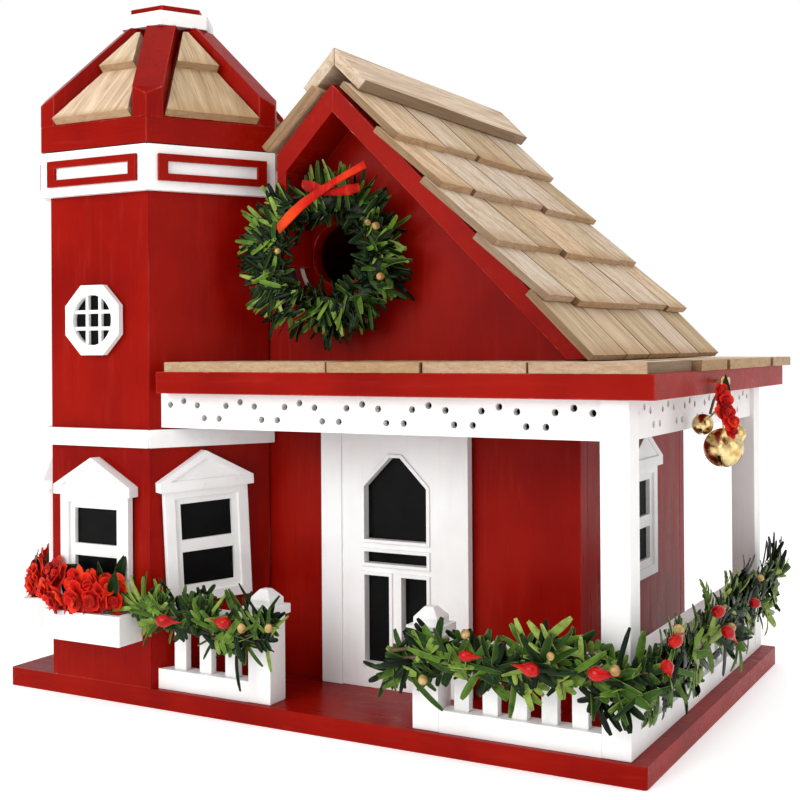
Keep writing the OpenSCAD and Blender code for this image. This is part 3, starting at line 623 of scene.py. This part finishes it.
def solids_of(node):
    """The node's separate solids, each as its own welded bmesh."""
    whole = bmesh.new()
    whole.from_mesh(nodes[node].data)
    bmesh.ops.remove_doubles(whole, verts=whole.verts, dist=SAME_POINT)
    left = set(whole.verts)
    found = []
    while left:
        seed = min(left, key=lambda v: v.index)
        group, edge = {seed}, [seed]
        while edge:
            v = edge.pop()
            for e in v.link_edges:
                other = e.other_vert(v)
                if other not in group:
                    group.add(other)
                    edge.append(other)
        left -= group
        part = bmesh.new()
        copies = {v: part.verts.new(v.co) for v in sorted(group, key=lambda v: v.index)}
        for face in whole.faces:
            if face.verts[0] in group:
                part.faces.new([copies[v] for v in face.verts])
        bmesh.ops.dissolve_limit(
            part, angle_limit=0.01, verts=part.verts, edges=part.edges
        )
        found.append(part)
    whole.free()
    return found


def cut_across(part, normal, at):
    """Cuts a solid with the plane that lies at a distance along normal."""
    bmesh.ops.bisect_plane(
        part,
        geom=part.verts[:] + part.edges[:] + part.faces[:],
        plane_co=Vector(normal) * at,
        plane_no=Vector(normal),
        dist=1e-7,
    )


def slice_solid(part, normal, spacing, draw):
    """Cuts a solid with parallel planes, a varied spacing apart, to give it more vertices."""
    reach = [v.co @ Vector(normal) for v in part.verts]
    at = min(reach) + spacing * (0.4 + 0.4 * draw.random())
    while at < max(reach) - spacing * 0.3:
        cut_across(part, normal, at)
        at += spacing * (0.75 + 0.5 * draw.random())


def split_boards(name, node, grain_of, seed, rib=1.9 * MM, step=7 * MM, rough=0.16 * MM):
    """Rebuilds a node of bare boards with a rough split surface and ragged ends.

    grain_of(centre) gives the directions down a board's grain and out of its face.
    """
    draw = np.random.default_rng(seed)
    verts, faces, places, tint_side_shade_and_end = [], [], [], []
    for part in solids_of(node):
        centre = sum((v.co for v in part.verts), Vector()) / len(part.verts)
        down, out = grain_of(np.array(centre))
        side = np.cross(out, down)
        centre_s = np.array(centre) @ side
        slice_solid(part, side, rib, draw)
        spread = [v.co @ Vector(side) for v in part.verts]
        left, right = min(spread), max(spread)
        for edge in (left + SHADED_SIDE_RIM, right - SHADED_SIDE_RIM):
            cut_across(part, side, edge)
        slice_solid(part, down, step, draw)
        part.normal_update()
        shift = draw.random(2) * 0.4
        tint = draw.random()
        foot = max(v.co @ Vector(down) for v in part.verts)
        start = len(verts)
        moved = []
        for v in part.verts:
            co = np.array(v.co)
            s, d, o = co @ side, co @ down, co @ out
            co = co - side * np.clip((s - centre_s) * 1e3, -1, 1) * SIDE_SHRINK
            grain = noise.noise(Vector(((s + shift[0]) * 420, (d + shift[1]) * 26, tint * 40)))
            broad = noise.noise(Vector(((s + shift[0]) * 120, (d + shift[1]) * 12, tint * 90)))
            lift = rough * (1.1 * grain + 0.9 * broad)
            if v.normal @ Vector(out) < -0.2:
                lift = 0.0
            moved.append(co + out * lift)
            at_foot = foot - d < CUT_END
            if at_foot:
                fray = noise.noise(Vector(((s + shift[0]) * 300, tint * 70, o * 200)))
                moved[-1] = moved[-1] - down * abs(fray) * FRAY
            places.append((s + shift[0], d + shift[1], tint + o * 3))
            at_side = min(s - left, right - s) < ON_EDGE
            # The side mask paints shade at a board's sides; the foot mask marks its darker cut end
            tint_side_shade_and_end.append((tint, float(at_side), float(at_foot)))
        verts += moved
        part.verts.ensure_lookup_table()
        faces += [tuple(start + v.index for v in f.verts) for f in part.faces]
        part.free()
    piece = new_piece(name, verts, faces, cedar, smooth=False)
    set_vectors(piece.data, "board", places)
    set_vectors(piece.data, "tint_side_shade_and_end", tint_side_shade_and_end)
    bevel = piece.modifiers.new("soft_edges", "BEVEL")
    bevel.width = 0.25 * MM
    bevel.segments = 1
    bevel.angle_limit = math.radians(50)
    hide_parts(node)


def roof_grain(centre):
    """Down the slope of the main roof that the board lies on."""
    ridge = sum(c.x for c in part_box("ridge_caps")) / 2
    down = DOWN_RIGHT if centre[0] > ridge else DOWN_LEFT
    return down, unit((-down[2] * np.sign(down[0]), 0, abs(down[0])))


def ridge_grain(centre):
    """Along the ridge."""
    _, out = roof_grain(centre)
    return np.array((0.0, 1.0, 0.0)), out


def porch_grain(centre):
    """Outwards: to the right on the side run, behind the corner, and else to the front."""
    side_run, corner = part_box("porch_shingles")[1].x - 54 * MM, -50 * MM
    down = (1.0, 0, 0) if centre[0] > side_run and centre[1] > corner else (0, -1.0, 0)
    return np.array(down), UP


def stop_grain(centre):
    """Upright, with its face to the front."""
    return -UP, FRONT


SPIRE_TOP = 9.7 * MM  # from the tower's axis to the middle of a side of its roof's top


def spire_grain(centre):
    """Down the face of the tower roof that the board lies on."""
    low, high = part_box("tower_roof_core")
    axis = (low + high) / 2
    flat = np.array((centre[0] - axis.x, centre[1] - axis.y))
    face = round((math.atan2(flat[1], flat[0]) - math.pi / 6) / (math.pi / 3))
    a = face * math.pi / 3 + math.pi / 6
    rise = high.z - low.z
    run = (high.y - low.y) / 2 - SPIRE_TOP
    down = unit((math.cos(a) * run, math.sin(a) * run, -rise))
    out = unit((math.cos(a) * rise, math.sin(a) * rise, run))
    return down, out


def make_shingles():
    for k in range(1, 6):
        split_boards(f"split_shingles_{k}", f"shingle_course_{k}", roof_grain, 10 + k)
    split_boards("split_ridge_caps", "ridge_caps", ridge_grain, 21, step=12 * MM)
    split_boards("split_porch_shingles", "porch_shingles", porch_grain, 22, rough=0.2 * MM)
    split_boards("split_spire_lower", "tower_shingles_lower", spire_grain, 23)
    split_boards("split_spire_upper", "tower_shingles_upper", spire_grain, 24)
    split_boards("split_cleanout_stop", "cleanout_stop", stop_grain, 25, step=10 * MM)


# --- greenery ------------------------------------------------------------------------


class Track:
    """A polyline with positions and directions by distance along it."""

    def __init__(self, points):
        self.points = [np.asarray(p, float) for p in points]
        self.lengths = [
            np.linalg.norm(b - a) for a, b in zip(self.points, self.points[1:])
        ]
        self.total = sum(self.lengths)

    def at(self, distance):
        distance = min(max(distance, 0), self.total - 1e-6)
        for a, b, length in zip(self.points, self.points[1:], self.lengths):
            if distance <= length:
                return a + (b - a) * (distance / length), unit(b - a)
            distance -= length
        return self.points[-1], unit(self.points[-1] - self.points[-2])


def put_tuft(heap, at, direction, out, draw, count, length, width, shade):
    """A fan of strap leaves from one point, spread in the plane square to out."""
    side = np.cross(unit(out), unit(direction))
    for k in range(count):
        turn = (k - (count - 1) / 2) / max(count - 1, 1) * draw.uniform(1.3, 2.1)
        turn += draw.normal() * 0.12
        heading = unit(direction) * math.cos(turn) + side * math.sin(turn)
        heading = heading + unit(out) * draw.uniform(0.05, 0.55)
        put_leaf(
            heap,
            np.asarray(at) + draw.normal(size=3) * 0.6 * MM,
            heading,
            unit(out) + draw.normal(size=3) * 0.35,
            length * draw.uniform(0.7, 1.15),
            width * draw.uniform(0.75, 1.2),
            draw.uniform(-0.15, 0.75),
            float(np.clip(shade + draw.normal() * 0.16, 0, 1)),
        )


def put_sprig(heap, at, direction, out, draw, pairs, length, width, shade):
    """A drooping stem with short leaves in pairs, like artificial yew."""
    direction, out = unit(direction), unit(out)
    points = [np.asarray(at, float)]
    heading = direction
    for k in range(pairs):
        heading = unit(heading + np.array((0, 0, -0.10)) + draw.normal(size=3) * 0.05)
        points.append(points[-1] + heading * length * 0.38)
        side = across(heading, np.cross(heading, out))
        for sign in (-1, 1):
            put_leaf(
                heap,
                points[-1],
                side * sign + heading * 0.75 + out * 0.25,
                out,
                length * draw.uniform(0.75, 1.1) * (1 - 0.35 * k / pairs),
                width,
                draw.uniform(0, 0.5),
                float(np.clip(shade + draw.normal() * 0.14, 0, 1)),
            )
    put_leaf(heap, points[-1], heading, out, length * 0.9, width, 0.2, shade)
    return points


TWIST_STEP = 4 * MM
LEAF_SHADES = (0.04, 0.24, 0.48, 0.74, 0.92)


def make_garland(name, track, outward, seed, density, slim, bare_end=0.0):
    """Leaves, stems and a twisted core along a track.

    outward(t) points away from the fence where the track runs along t. density is the
    distance between leaves or tufts, slim a share of their width, and bare_end the length
    at the start where the leaves only hang.
    """
    draw = np.random.default_rng(seed)
    leaves, stems = Heap(), Heap()
    count = int(track.total / density)
    for k in range(count):
        along = (k + draw.random()) * track.total / count
        p, t = track.at(along)
        out = outward(t)
        low = along < bare_end
        spread = (4.8 - 1.6 * out[1] * out[1]) * MM
        wave = 2.5 * MM * math.sin(along / (9 * MM)) - (5 * MM if low else 0)
        base = p + out * draw.uniform(-3, 4) * MM + UP * (wave + draw.normal() * spread)
        base = base + t * draw.normal() * 2 * MM
        turn = draw.normal() * 0.75 + (0 if draw.random() < 0.5 else math.pi)
        lean = t * math.cos(turn) + UP * math.sin(turn)
        if lean[2] < -0.35 and draw.random() < 0.55:
            lean = lean * np.array((1, 1, -1))
        if low:
            lean = t * 0.8 * np.sign(draw.random() - 0.6) - UP * draw.uniform(0.0, 0.6)
        shade = draw.choice(LEAF_SHADES, p=(0.26, 0.24, 0.20, 0.20, 0.10))
        kind = draw.random()
        if kind < 0.60:
            put_tuft(
                leaves, base, lean, out, draw, int(draw.integers(3, 6)),
                draw.uniform(11, 18) * MM, draw.uniform(2.2, 4.0) * slim * MM, shade,
            )
        elif kind < 0.86:
            points = put_sprig(
                leaves, base, lean, out, draw, int(draw.integers(2, 5)),
                draw.uniform(5.5, 8) * MM, 2.2 * MM, shade,
            )
            put_tube(stems, points, 0.4 * MM, sides=5)
        else:
            put_leaf(
                leaves, base, unit(lean) + out * 0.3, out,
                draw.uniform(15, 23) * MM, draw.uniform(1.8, 2.8) * slim * MM,
                draw.uniform(0, 0.6), float(shade),
            )
    for strand in range(3):
        points = []
        for k in range(int(track.total / TWIST_STEP) + 1):
            p, t = track.at(k * TWIST_STEP)
            a = k * 0.55 + strand * 2.1
            points.append(p + (outward(t) * math.cos(a) + UP * math.sin(a)) * 2.2 * MM)
        put_tube(stems, points, 0.8 * MM, sides=6)
    piece = leaves.piece(name + "_leaves", greens, thickness=LEAF_THICK)
    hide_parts(name)
    stems.piece(name + "_stems", twig)


def make_buds(name, spots, material, outline, length, radius, seed):
    """Berries or cones at places in millimetres, each with the direction that it leans."""
    draw = np.random.default_rng(seed)
    heap = Heap()
    for at, lean in spots:
        k = draw.uniform(0.85, 1.15)
        put_bud(heap, np.array(at) * MM, lean, length * k, radius * k, outline)
    heap.piece(name, material)


def make_garlands():
    """The short garland on the left fence and the long one round the porch's corner."""
    low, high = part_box("garland_small")
    r = (high.y - low.y) / 2
    middle = (low.z + high.z) / 2
    small = Track([(low.x + 2 * MM, low.y + r, middle + 3 * MM),
                   (high.x - 3 * MM, low.y + r, middle - 1 * MM)])
    make_garland("garland_small", small, lambda t: FRONT, 31, density=1.0 * MM, slim=0.62)

    low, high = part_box("garland_porch")
    bend = r + 1 * MM
    corner = np.array((high.x - r - bend, low.y + r + bend))
    front = [(low.x + 3 * MM, low.y + r, middle), (corner[0], low.y + r, middle)]
    turn = [
        (corner[0] + bend * math.sin(a), corner[1] - bend * math.cos(a), middle)
        for a in np.linspace(0.25, 1.3, 4)
    ]
    side = [(high.x - r, corner[1], middle), (high.x - r, high.y - 30 * MM, middle + 2 * MM),
            (high.x - r, high.y - 3 * MM, middle + 6 * MM)]
    porch = Track(front + turn + side)

    def outward(t):
        return unit(np.cross(t, UP))

    make_garland("garland_porch", porch, outward, 32, density=1.1 * MM, slim=0.9, bare_end=16 * MM)

    right, left, level = (1, 0.1, 0), (-1, 0.1, 0.1), (0.3, -0.5, -0.2)
    make_buds(
        "berries",
        [
            ((-50, -122, 44.5), right), ((-20, -122, 47.0), left),
            ((94.9, -122, 45.6), right),
            ((119.5, -122, 43.6), left), ((147.4, -122, 45.0), right),
            ((171.0, -118, 49.0), level), ((172, -110, 57.5), (0.2, 1, 0.2)),
            ((172, -52, 57.0), (0.2, 1, 0.1)), ((172, 8.4, 49.0), (0.2, 1, -0.4)),
            ((172, -37.3, 45.0), (0.3, 0.6, -0.6)),
        ],
        berry_red, TEARDROP, 8.5 * MM, 2.5 * MM, 41,
    )
    make_buds(
        "gold_buds",
        [
            ((-10.4, -121, 45.2), (0.2, -0.4, 0.9)), ((3.3, -121, 46.6), (0.2, -0.4, 0.9)),
            ((75.2, -121, 34.0), level), ((92.5, -119, 53.0), level),
            ((128, -121, 49.0), (0.2, -0.4, 0.8)), ((153, -122, 47.0), level),
            ((171, -105, 60.0), level), ((171, -30, 46.0), level), ((171, 22, 58.0), level),
        ],
        bud_gold, BALL, 4.2 * MM, 1.7 * MM, 42,
    )


RING_LEAVES, CHEEK_LEAVES = 760, 70


def make_wreath():
    """A ring of short strap leaves that point outwards, round a white wire frame."""
    low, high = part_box("wreath")
    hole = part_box("front_wall")[0].y
    over_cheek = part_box("gable_cheek")[1].x + 4 * MM
    front_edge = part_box("roof_deck_left")[0].y
    centre = np.array((low + high) / 2)
    reach = (high.z - low.z) / 2
    tube = (high.y - low.y) / 2
    ring = reach - tube - 3 * MM
    draw = np.random.default_rng(51)
    leaves = Heap()
    for k in range(RING_LEAVES):
        a = 2 * math.pi * (k + draw.random()) / RING_LEAVES
        radial = np.array((math.cos(a), 0, math.sin(a)))
        round_ = np.array((-math.sin(a), 0, math.cos(a)))
        inward = draw.random() < 0.42
        lean = draw.normal() * (0.75 if inward else 0.5)
        heading = radial * (-0.8 if inward else 1.0) * math.cos(lean) + round_ * math.sin(lean)
        heading = heading + FRONT * draw.uniform(-0.1, 0.6)
        spread = draw.uniform(-4, 8) * MM
        root = centre + radial * (ring - 3 * MM + spread) + FRONT * draw.uniform(-5, 4) * MM
        if inward:
            root = root - FRONT * draw.uniform(0, 3) * MM
        # Leaves over the cheek start in front of it, and the others shade into that
        left_x = root[0] + min(0, heading[0]) * 10 * MM
        if left_x < over_cheek:
            need = min(1.0, (over_cheek - left_x) / (7 * MM))
            root[1] = root[1] + (min(root[1], front_edge - 2 * MM) - root[1]) * need
            heading = heading * np.array((1, 0.3 + 0.7 * (1 - need), 1))
        shade = draw.choice((0.02, 0.22, 0.50, 0.78, 0.95), p=(0.30, 0.22, 0.20, 0.20, 0.08))
        length = draw.uniform(6, 11) * MM if inward else draw.uniform(9, 15) * MM
        # Painted shade: leaves that point inwards, towards the hole, are darkened
        if inward:
            shade = shade * 0.35
        put_leaf(
            leaves, root, heading, FRONT + draw.normal(size=3) * 0.45, length,
            draw.uniform(1.6, 2.5) * MM, draw.uniform(-0.3, 0.5),
            float(np.clip(shade + draw.normal() * 0.08, 0, 1)),
        )
    for _ in range(CHEEK_LEAVES):
        a = draw.uniform(0.80, 1.22) * math.pi
        r = ring + draw.uniform(-5, 6) * MM
        root = centre + np.array((math.cos(a) * r, 0, math.sin(a) * r))
        root[1] = front_edge - draw.uniform(1.5, 4) * MM
        b = a + draw.normal() * 0.9
        put_leaf(
            leaves, root, (math.cos(b), -0.15, math.sin(b)),
            FRONT + draw.normal(size=3) * 0.3,
            draw.uniform(8, 12) * MM, draw.uniform(1.6, 2.5) * MM, draw.uniform(-0.2, 0.4),
            float(draw.choice((0.03, 0.2, 0.5, 0.8))),
        )
    piece = leaves.piece("wreath_leaves", greens, thickness=LEAF_THICK)
    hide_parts("wreath")

    frame_ring, core = Heap(), Heap()
    for heap, radius, y, thick in (
        (frame_ring, ring - 3.6 * MM, hole - 1.6 * MM, 1.0 * MM),
        (core, ring - 1 * MM, centre[1] + 1 * MM, 3.4 * MM),
    ):
        points = [
            (centre[0] + radius * math.cos(a), y, centre[2] + radius * math.sin(a))
            for a in np.linspace(0, 2 * math.pi, 61)
        ]
        put_tube(heap, points, thick, sides=8)
    frame_ring.piece("wreath_frame", wreath_white)
    core.piece("wreath_core", dark_core)
    make_buds(
        "wreath_buds",
        [((31, -78, 215), (0, -1, 0.4)), ((27.5, -79, 216.5), (0, -1, 0.4)),
         ((-19, -80, 206), (0, -1, 0)), ((33, -78, 193), (0, -1, 0))],
        bud_gold, BALL, 3.6 * MM, 1.6 * MM, 43,
    )


RIBBON_THICK = 0.5 * MM
BAND_SPANS = 4  # flat strips across a ribbon's width


def put_band(heap, points, widths, facing, fold_shade_and_highlight):
    """A flat ribbon with real thickness along points, its face turned to facing."""
    verts, faces, data = [], [], []
    for k, p in enumerate(points):
        p = np.asarray(p, float)
        ahead = unit(np.subtract(points[min(k + 1, len(points) - 1)], points[max(k - 1, 0)]))
        out = across(ahead, facing)
        side = np.cross(ahead, out)
        for j in range(BAND_SPANS + 1):
            middle = p + side * (j / BAND_SPANS - 0.5) * widths[k]
            crown = (1 - (2 * j / BAND_SPANS - 1) ** 2) * widths[k] * 0.10
            for face in (RIBBON_THICK / 2, -RIBBON_THICK / 2):
                verts.append(middle + out * (crown + face))
                # Painted shade and highlight along the band, from its shade numbers
                data.append((fold_shade_and_highlight[k], 0, 0))
    row = 2 * (BAND_SPANS + 1)
    for k in range(len(points) - 1):
        a, b = k * row, (k + 1) * row
        for i in range(0, 2 * BAND_SPANS, 2):
            faces.append((a + i, a + i + 2, b + i + 2, b + i))
            faces.append((a + i + 1, b + i + 1, b + i + 3, a + i + 3))
        faces.append((a, b, b + 1, a + 1))
        faces.append((a + row - 2, a + row - 1, b + row - 1, b + row - 2))
    for k, flip in ((0, False), (len(points) - 1, True)):
        a = k * row
        for i in range(a, a + 2 * BAND_SPANS, 2):
            face = (i, i + 1, i + 3, i + 2)
            faces.append(face[::-1] if flip else face)
    heap.put(verts, faces, data)


# Places in millimetres along each band, with its width and painted light there: a low shade paints
# the shade of a fold, a high one a highlight
LONG_TAIL = (
    ((-18.5, -80, 216.0), 5.2, 0.95), ((-11, -83, 220.5), 5.6, 1.0),
    ((-3, -84.5, 225.5), 5.0, 0.6), ((5, -84.5, 230.0), 4.2, 0.25),
    ((12, -83.5, 234.0), 3.4, 0.35), ((19, -82.5, 237.5), 3.4, 0.7),
    ((27.5, -81, 241.5), 3.8, 0.55),
)
FLAT_TAIL = (
    ((-6, -79, 235.5), 3.8, 0.25), ((0, -81, 233.5), 5.4, 0.1), ((6, -82, 231.5), 4.2, 0.15),
    ((12, -81.5, 230.5), 3.4, 0.1), ((18, -80.5, 231.0), 4.6, 0.3),
    ((23.5, -79, 232.0), 3.8, 0.2),
)


def make_ribbon():
    """A long tail that crosses the wreath, over a flatter one."""
    heap = Heap()
    for band, facing in ((LONG_TAIL, (0, -1, 0.25)), (FLAT_TAIL, (0, -1, -0.2))):
        points, widths, fold_shade_and_highlight = zip(*band)
        points = [np.array(p) * MM for p in points]
        put_band(heap, points, [w * MM for w in widths], facing, fold_shade_and_highlight)
    piece = heap.piece("wreath_ribbon", ribbon_cloth)
    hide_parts("wreath_bow")


def put_petal(heap, root, direction, facing, size, cup, draw, shade):
    """A round ruffled petal that opens from root along direction."""
    direction = unit(direction)
    out = across(direction, facing)
    side = np.cross(direction, out)
    rings, spokes = 5, 12
    phase = draw.uniform(0, 6)
    verts, data, faces = [], [], []
    middle = np.asarray(root) + direction * size * 0.5
    for i in range(rings + 1):
        for j in range(spokes):
            a = 2 * math.pi * j / spokes
            r = size * 0.5 * i / rings
            wave = math.sin(3 * a + phase) * 0.13 + math.sin(5 * a + 2 * phase) * 0.06
            x, y = math.cos(a) * r, math.sin(a) * r * 0.92
            lift = cup * (r / size) ** 2 * 2.2 * size + wave * r * (i / rings)
            verts.append(middle + direction * x + side * y + out * lift)
            rim = i / rings
            # Painted shade and highlight: each petal darkens towards its root and lightens towards
            # its rim
            data.append((float(np.clip(shade + 0.25 * (rim - 0.5), 0, 1)), rim, 0))
    for i in range(rings):
        for j in range(spokes):
            k = (j + 1) % spokes
            a, b = i * spokes, (i + 1) * spokes
            faces.append((a + j, b + j, b + k, a + k))
    heap.put(verts, faces, data)


# Petals in each ring, then their reach, lift and size as shares of the flower's size
PETAL_RINGS = ((5, 0.30, 0.05, 0.58), (4, 0.17, 0.18, 0.46), (3, 0.06, 0.28, 0.34))


def put_bloom(heap, at, facing, size, draw, shade):
    """One silk flower: rings of ruffled petals, smaller and higher towards the middle, with
    painted shade that deepens towards the middle.
    """
    facing = unit(facing)
    u = across(facing, draw.normal(size=3))
    v = np.cross(facing, u)
    for count, reach, lift, scale in PETAL_RINGS:
        start = draw.uniform(0, 6)
        for k in range(count):
            a = start + 2 * math.pi * k / count + draw.normal() * 0.15
            away = u * math.cos(a) + v * math.sin(a)
            root = at + facing * lift * size + away * (reach - scale * 0.5) * size
            normal = facing - away * (0.25 + 0.8 * lift)
            # Inner rings take a darker shade: painted shade in the bloom's heart
            put_petal(
                heap, root, away + facing * (0.2 + 1.5 * lift),
                normal + draw.normal(size=3) * 0.12,
                size * scale * draw.uniform(0.9, 1.15), draw.uniform(-0.25, 0.3), draw,
                float(np.clip(shade + draw.normal() * 0.22 - 0.9 * lift, 0, 1)),
            )


# Each bloom's place along a window box, its height above it and its distance from the wall
BLOOM_SPOTS = (
    (-19, 7, 10), (-13, 15, 9), (-9, 5, 13), (-3, 13, 9), (1, 5, 13), (6.5, 12, 10),
    (11, 5.5, 12), (15, 11, 8), (-20, 15, 6), (17, 5, 8),
)


def make_flowers():
    """Bunches of silk blooms with a few dark leaves over each window box."""
    low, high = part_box("tower_walls")
    axis = np.array((low + high) / 2)
    apothem = (high.y - low.y) / 2
    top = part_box("window_boxes")[1].z
    draw = np.random.default_rng(61)
    blooms, leaves = Heap(), Heap()
    for face in (0, -1):
        turn = math.radians(60 * face)
        x = np.array((math.cos(turn), math.sin(turn), 0))
        out = np.array((math.sin(turn), -math.cos(turn), 0))
        origin = axis * np.array((1, 1, 0)) + out * apothem + UP * top
        for along, level, depth in BLOOM_SPOTS:
            jitter = draw.normal(size=3) * 0.8 * MM
            at = origin + (x * (along - 1) + out * depth + UP * level) * MM
            facing = out + x * along / 30 + UP * (level - 9) / 14
            put_bloom(
                blooms, at + jitter, facing + draw.normal(size=3) * 0.15,
                draw.uniform(12.5, 15.5) * MM, draw, draw.uniform(0.35, 0.85),
            )
        for _ in range(10):
            along = draw.uniform(-20, 20) * MM
            at = origin + x * along + out * draw.uniform(5, 12) * MM
            at = at + UP * draw.uniform(0, 14) * MM
            heading = x * draw.normal() * 0.7 + UP * draw.uniform(0.1, 1)
            put_leaf(
                leaves, at, heading + out * 0.15, out + draw.normal(size=3) * 0.3,
                draw.uniform(10, 15) * MM, draw.uniform(5, 7) * MM, 0.3,
                draw.uniform(0.02, 0.40), POINTED,
            )
        put_leaf(
            leaves, origin + (x * 15 + out * 5 + UP * 12) * MM,
            x * 0.25 + UP, out, 15 * MM, 6.5 * MM, 0.2, 0.15, POINTED,
        )
    piece = blooms.piece("silk_flowers", petals, thickness=0.3 * MM)
    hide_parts("box_flowers")
    leaves.piece("flower_leaves", greens, thickness=0.25 * MM)


# Each bloom's place from the sprig's front and its size, from the top down
SPRIG_BLOOMS = (
    (-1.5, -7.5, 1.5, 5.5), (-1, -6.5, -2.5, 7.5), (0, -6.5, -7.0, 8.0),
    (1.0, -4.5, -11.0, 7.0), (1.5, -3.5, -15.0, 5.5),
)


def make_sprig():
    """The silk blooms, leaves and stem wired in front of the bells."""
    low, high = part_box("bell_sprig")
    front = np.array((high.x - 2 * MM, low.y + 5 * MM, (low.z + high.z) / 2))
    draw = np.random.default_rng(71)
    bloom, leaf, stem = Heap(), Heap(), Heap()
    for x, y, z, size in SPRIG_BLOOMS:
        at = front + np.array((x + draw.normal() * 0.5, y, z)) * MM
        put_bloom(bloom, at, (0.8, -0.7, 0.1), size * MM, draw, draw.uniform(0.1, 0.6))
    put_leaf(
        leaf, front + np.array((-1.0, -1.5, -5.0)) * MM, (0.05, 0.0, 1), (1, -0.6, 0),
        13 * MM, 4.6 * MM, 0.1, 0.05, POINTED,
    )
    put_leaf(
        leaf, front + np.array((-1.0, -3.0, 2.0)) * MM, (0, -0.5, -1), (1, -0.6, 0),
        9 * MM, 3.2 * MM, 0.3, 0.2, POINTED,
    )
    knot = np.array((low.x - 2 * MM, high.y - 1 * MM, (low.z + high.z) / 2))
    bends = ((1, -1, 2), (0.5, -5, 0), (0, -9.5, -3), (-0.5, -13, -8))
    put_tube(stem, [knot + np.array(bend) * MM for bend in bends], 0.6 * MM)
    piece = bloom.piece("bell_petals", petals, "bells", 0.25 * MM)
    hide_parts("bell_sprig")
    leaf.piece("bell_leaves", greens, "bells", 0.25 * MM)
    stem.piece("bell_stem", twig, "bells")


# --- floor -----------------------------------------------------------------------------


def make_floor():
    """A plain pale floor, lit a little from within so that it stays as light as the wall."""
    s = Shader("floor_white")
    tone = s.ramp(s.noise(3, detail=2), (0.3, (0.88, 0.88, 0.88)), (0.7, (0.92, 0.92, 0.92)))
    s.finish(Base_Color=tone, Roughness=0.8, Emission_Color=(1, 1, 1), Emission_Strength=0.38)
    size = 6.0
    mesh = bpy.data.meshes.new("floor")
    mesh.from_pydata(
        [(-size, -size, 0), (size, -size, 0), (size, size, 0), (-size, size, 0)], [],
        [(0, 1, 2, 3)],
    )
    mesh.materials.append(s.material)
    floor = bpy.data.objects.new("floor", mesh)
    floor.location.z = -0.0002
    scene.collection.objects.link(floor)


make_camera()
make_studio()
dress_cad_nodes()
make_shingles()
make_garlands()
make_wreath()
make_ribbon()
make_flowers()
make_sprig()
make_floor()
